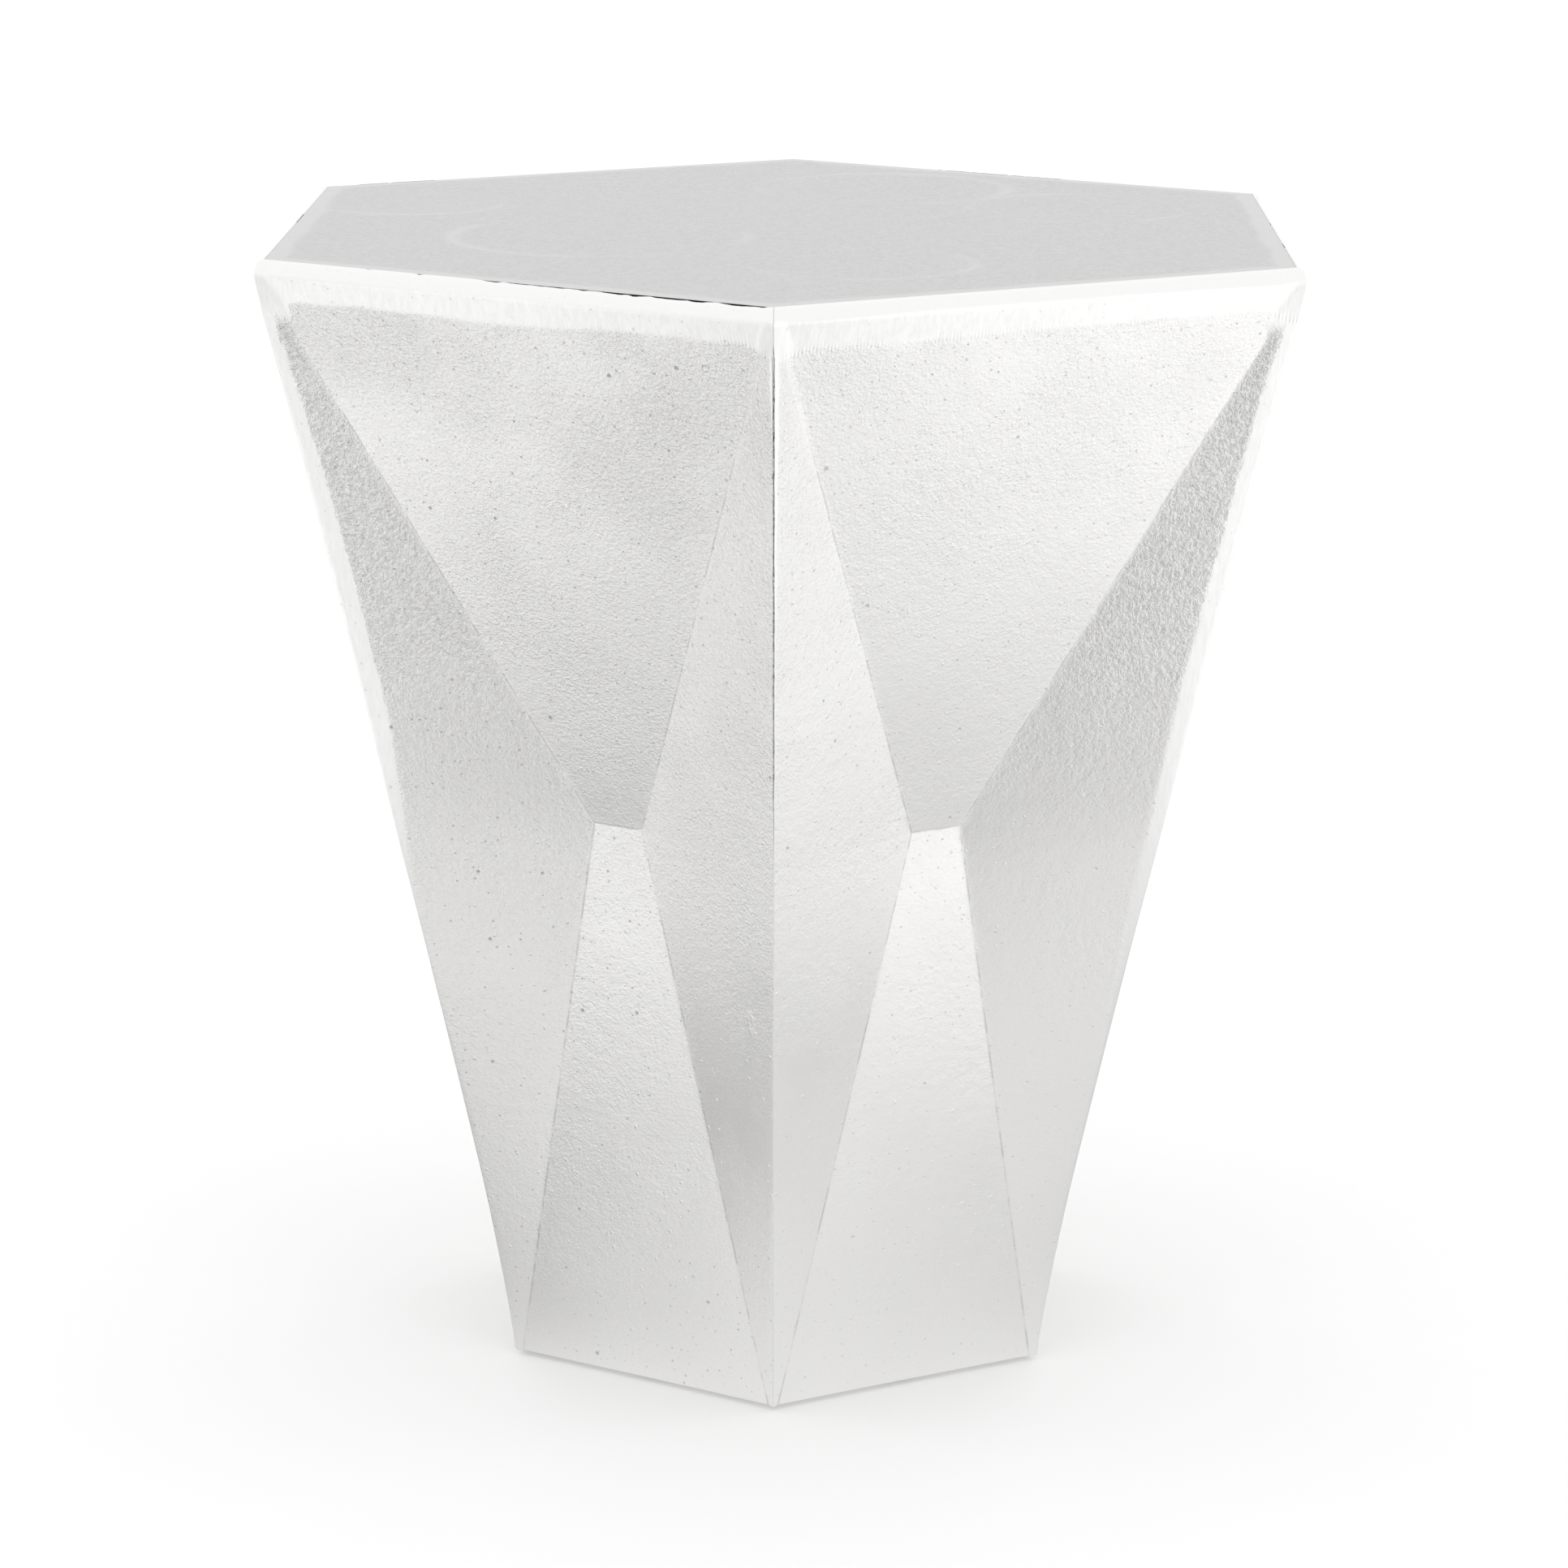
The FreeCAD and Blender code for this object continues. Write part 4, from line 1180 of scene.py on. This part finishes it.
def rubber():
    n = Nodes("glide_rubber")
    coord = n.coord()
    fine = n.noise(coord, scale=1400, rough=0.6)
    dust = n.ramp(n.noise(coord, scale=120, detail=3, rough=0.6), over=(0.35, 0.7))
    return n.finish(n.mix_colour(dust, (0.018, 0.018, 0.018), (0.06, 0.058, 0.055)),
                    n.ramp(fine, over=(0.3, 0.7), to=(0.6, 0.8)), fine * 0.00004,
                    metallic=0.0)


# ------------------------------------------------------------------ building the pieces

CAST, TOP = cast_metal(), top_metal()
for side in SIDES:
    make_panel(side, CAST)
make_top(TOP)
WELD = simple_metal("weld_bead", colour=(0.78, 0.775, 0.76), rough=0.42, ripple=1.0)
ZINC = simple_metal("zinc_steel", colour=(0.62, 0.63, 0.65), rough=0.30, ripple=0.1)
RUBBER = rubber()
for name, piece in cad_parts.items():
    if "weld" in name:
        assign(piece, WELD)
    elif name.endswith("_glide"):
        assign(piece, RUBBER)
    elif name in ("glide_washers", "glide_screws"):
        assign(piece, ZINC)

# ------------------------------------------------------------------ stage and light, in m
# The metal mirrors a pale floor with soft bright and dark patches, and an even light tent.

scene = bpy.context.scene
scene.view_settings.view_transform = "Standard"

FLOOR_GLOW, TENT_GLOW, WORLD_GLOW = 1.05, 0.98, 1.26
LIGHT_COLOUR = (1.0, 0.999, 0.996)
TENT_RADIUS = 3.0
# floor patches: strength, x, y, spread
FLOOR_PATCHES = [
    (-0.9, 0.13, -1.32, 0.48), (0.5, -0.54, -0.17, 0.36), (0.5, 0.61, -0.48, 0.46),
    (-0.88, -0.31, -0.1, 0.16), (-0.8, -0.03, -0.93, 0.35), (-0.7, 0.37, -0.09, 0.16),
    (0.31, -0.06, 0.12, 0.16), (-0.76, -1.38, 0.17, 0.37), (0.36, -0.23, -0.32, 0.16),
    (-0.4, -0.3, -0.1, 0.16), (-0.29, 0.07, -0.11, 0.16), (-0.74, -0.06, -0.87, 0.32),
    (-0.55, 0, 1, 0.34),
    # behind the object, so that the far sides show their facets too
    (-0.42, -0.48, 0.80, 0.34), (-0.30, 0.25, 1.10, 0.32), (-0.40, 0.95, 0.62, 0.30),
    (-0.40, 0.00, 0.46, 0.20), (-0.34, -0.38, 0.44, 0.18), (-0.34, 0.38, 0.44, 0.18)]
STAGE_SEGMENTS = 72
STAGE_ANGLES = np.linspace(0, 2 * math.pi, STAGE_SEGMENTS, endpoint=False)


def floor_glow(x, y):
    glow = np.full(np.shape(x), FLOOR_GLOW)
    for strength, patch_x, patch_y, spread in FLOOR_PATCHES:
        square = (x - patch_x) ** 2 + (y - patch_y) ** 2
        glow = glow + strength * np.exp(-square / (2 * spread * spread))
    return np.maximum(glow, 0.02)


def stage_mesh(name, radii, heights, glow, material):
    """Rings of points about the z axis, one per radius and height, that carry a glow."""
    x, y = (np.outer(radii, turn).ravel() for turn in (np.cos(STAGE_ANGLES), np.sin(STAGE_ANGLES)))
    points = np.stack([x, y, np.repeat(heights, STAGE_SEGMENTS)], 1)
    faces = []
    for i in range(len(radii) - 1):
        low, high = i * STAGE_SEGMENTS, (i + 1) * STAGE_SEGMENTS
        for j in range(STAGE_SEGMENTS):
            k = (j + 1) % STAGE_SEGMENTS
            faces.append((low + j, low + k, high + k, high + j))
    mesh = bpy.data.meshes.new(name)
    mesh.from_pydata(points.tolist(), [], faces)
    attribute = mesh.attributes.new("glow", "FLOAT", "POINT")
    attribute.data.foreach_set("value", np.asarray(glow(x, y), np.float32))
    mesh.update()
    stage = bpy.data.objects.new(name, mesh)
    scene.collection.objects.link(stage)
    assign(stage, material)
    return stage


def glow_shader(n):
    return n.new("Emission", {"Strength": n.attribute("glow"), "Color": LIGHT_COLOUR})


def floor_material():
    """Pale to the eye, but glowing in the metal's reflections."""
    n = Nodes("floor_pale")
    path = n.new("LightPath", {})
    pale = n.new("BsdfDiffuse", {"Color": (0.87, 0.87, 0.87)})
    return n.output(n.new("MixShader", {0: path.outputs["Is Glossy Ray"], 1: pale.outputs[0],
                                        2: glow_shader(n).outputs[0]}))


def tent_material():
    n = Nodes("tent_cloth")
    return n.output(glow_shader(n))


def make_stage():
    radii = np.concatenate([np.arange(0.001, 0.8, 0.025), np.arange(0.8, 1.7, 0.06),
                            np.arange(1.8, 3.0, 0.2), [3.0, 6.0]])
    stage_mesh("floor", radii, 0 * radii, floor_glow, floor_material())
    elevations = np.radians(np.linspace(-0.5, 89.9, 31))
    tent = stage_mesh("light_tent", np.cos(elevations) * TENT_RADIUS,
                      np.sin(elevations) * TENT_RADIUS,
                      lambda x, y: np.full(len(x), TENT_GLOW), tent_material())
    # the tent is seen only in reflections
    tent.visible_camera = tent.visible_diffuse = False
    tent.visible_shadow = tent.visible_transmission = False


def make_world():
    world = bpy.data.worlds.new("studio")
    world.use_nodes = True
    scene.world = world
    tree = world.node_tree
    tree.nodes.clear()
    background = tree.nodes.new("ShaderNodeBackground")
    background.inputs["Color"].default_value = (1, 1, 1, 1)
    background.inputs["Strength"].default_value = WORLD_GLOW
    output = tree.nodes.new("ShaderNodeOutputWorld")
    tree.links.new(background.outputs[0], output.inputs[0])


# ------------------------------------------------------------------ camera

CAMERA_LENS, CAMERA_SENSOR = 112.689503106, 36.0  # mm
CAMERA_DISTANCE = 4.427525  # in body heights, from the middle of the body
CAMERA_ELEVATION, CAMERA_AZIMUTH = 0.2418468, 0.016588  # radians; azimuth from -y to +x
CAMERA_ROLL = 0.0056994  # radians
CAMERA_AIM = 0.00047626, -0.00126991  # aim off the middle, right and up, per unit ahead


def unit(vector):
    return vector / np.linalg.norm(vector)


def make_camera():
    body = BODY * MILLI
    target = np.array([0, 0, Z_BASE * MILLI + 0.5 * body])
    back = np.array([math.sin(CAMERA_AZIMUTH) * math.cos(CAMERA_ELEVATION),
                     -math.cos(CAMERA_AZIMUTH) * math.cos(CAMERA_ELEVATION),
                     math.sin(CAMERA_ELEVATION)])
    eye = target + back * CAMERA_DISTANCE * body
    right = unit(np.cross(-back, [0, 0, 1]))
    up = np.cross(right, -back)
    ahead = unit(-back + right * CAMERA_AIM[0] + up * CAMERA_AIM[1])
    right = unit(np.cross(ahead, up))
    up = np.cross(right, ahead)
    cos, sin = math.cos(CAMERA_ROLL), math.sin(CAMERA_ROLL)
    axes = [right * cos + up * sin, -right * sin + up * cos, -ahead, eye]
    data = bpy.data.cameras.new("camera")
    data.sensor_width = CAMERA_SENSOR
    data.lens = CAMERA_LENS
    data.clip_start, data.clip_end = 0.05, 50
    camera = bpy.data.objects.new("camera", data)
    scene.collection.objects.link(camera)
    camera.matrix_world = Matrix([*np.column_stack(axes).tolist(), [0, 0, 0, 1]])
    scene.camera = camera


make_stage()
make_world()
make_camera()
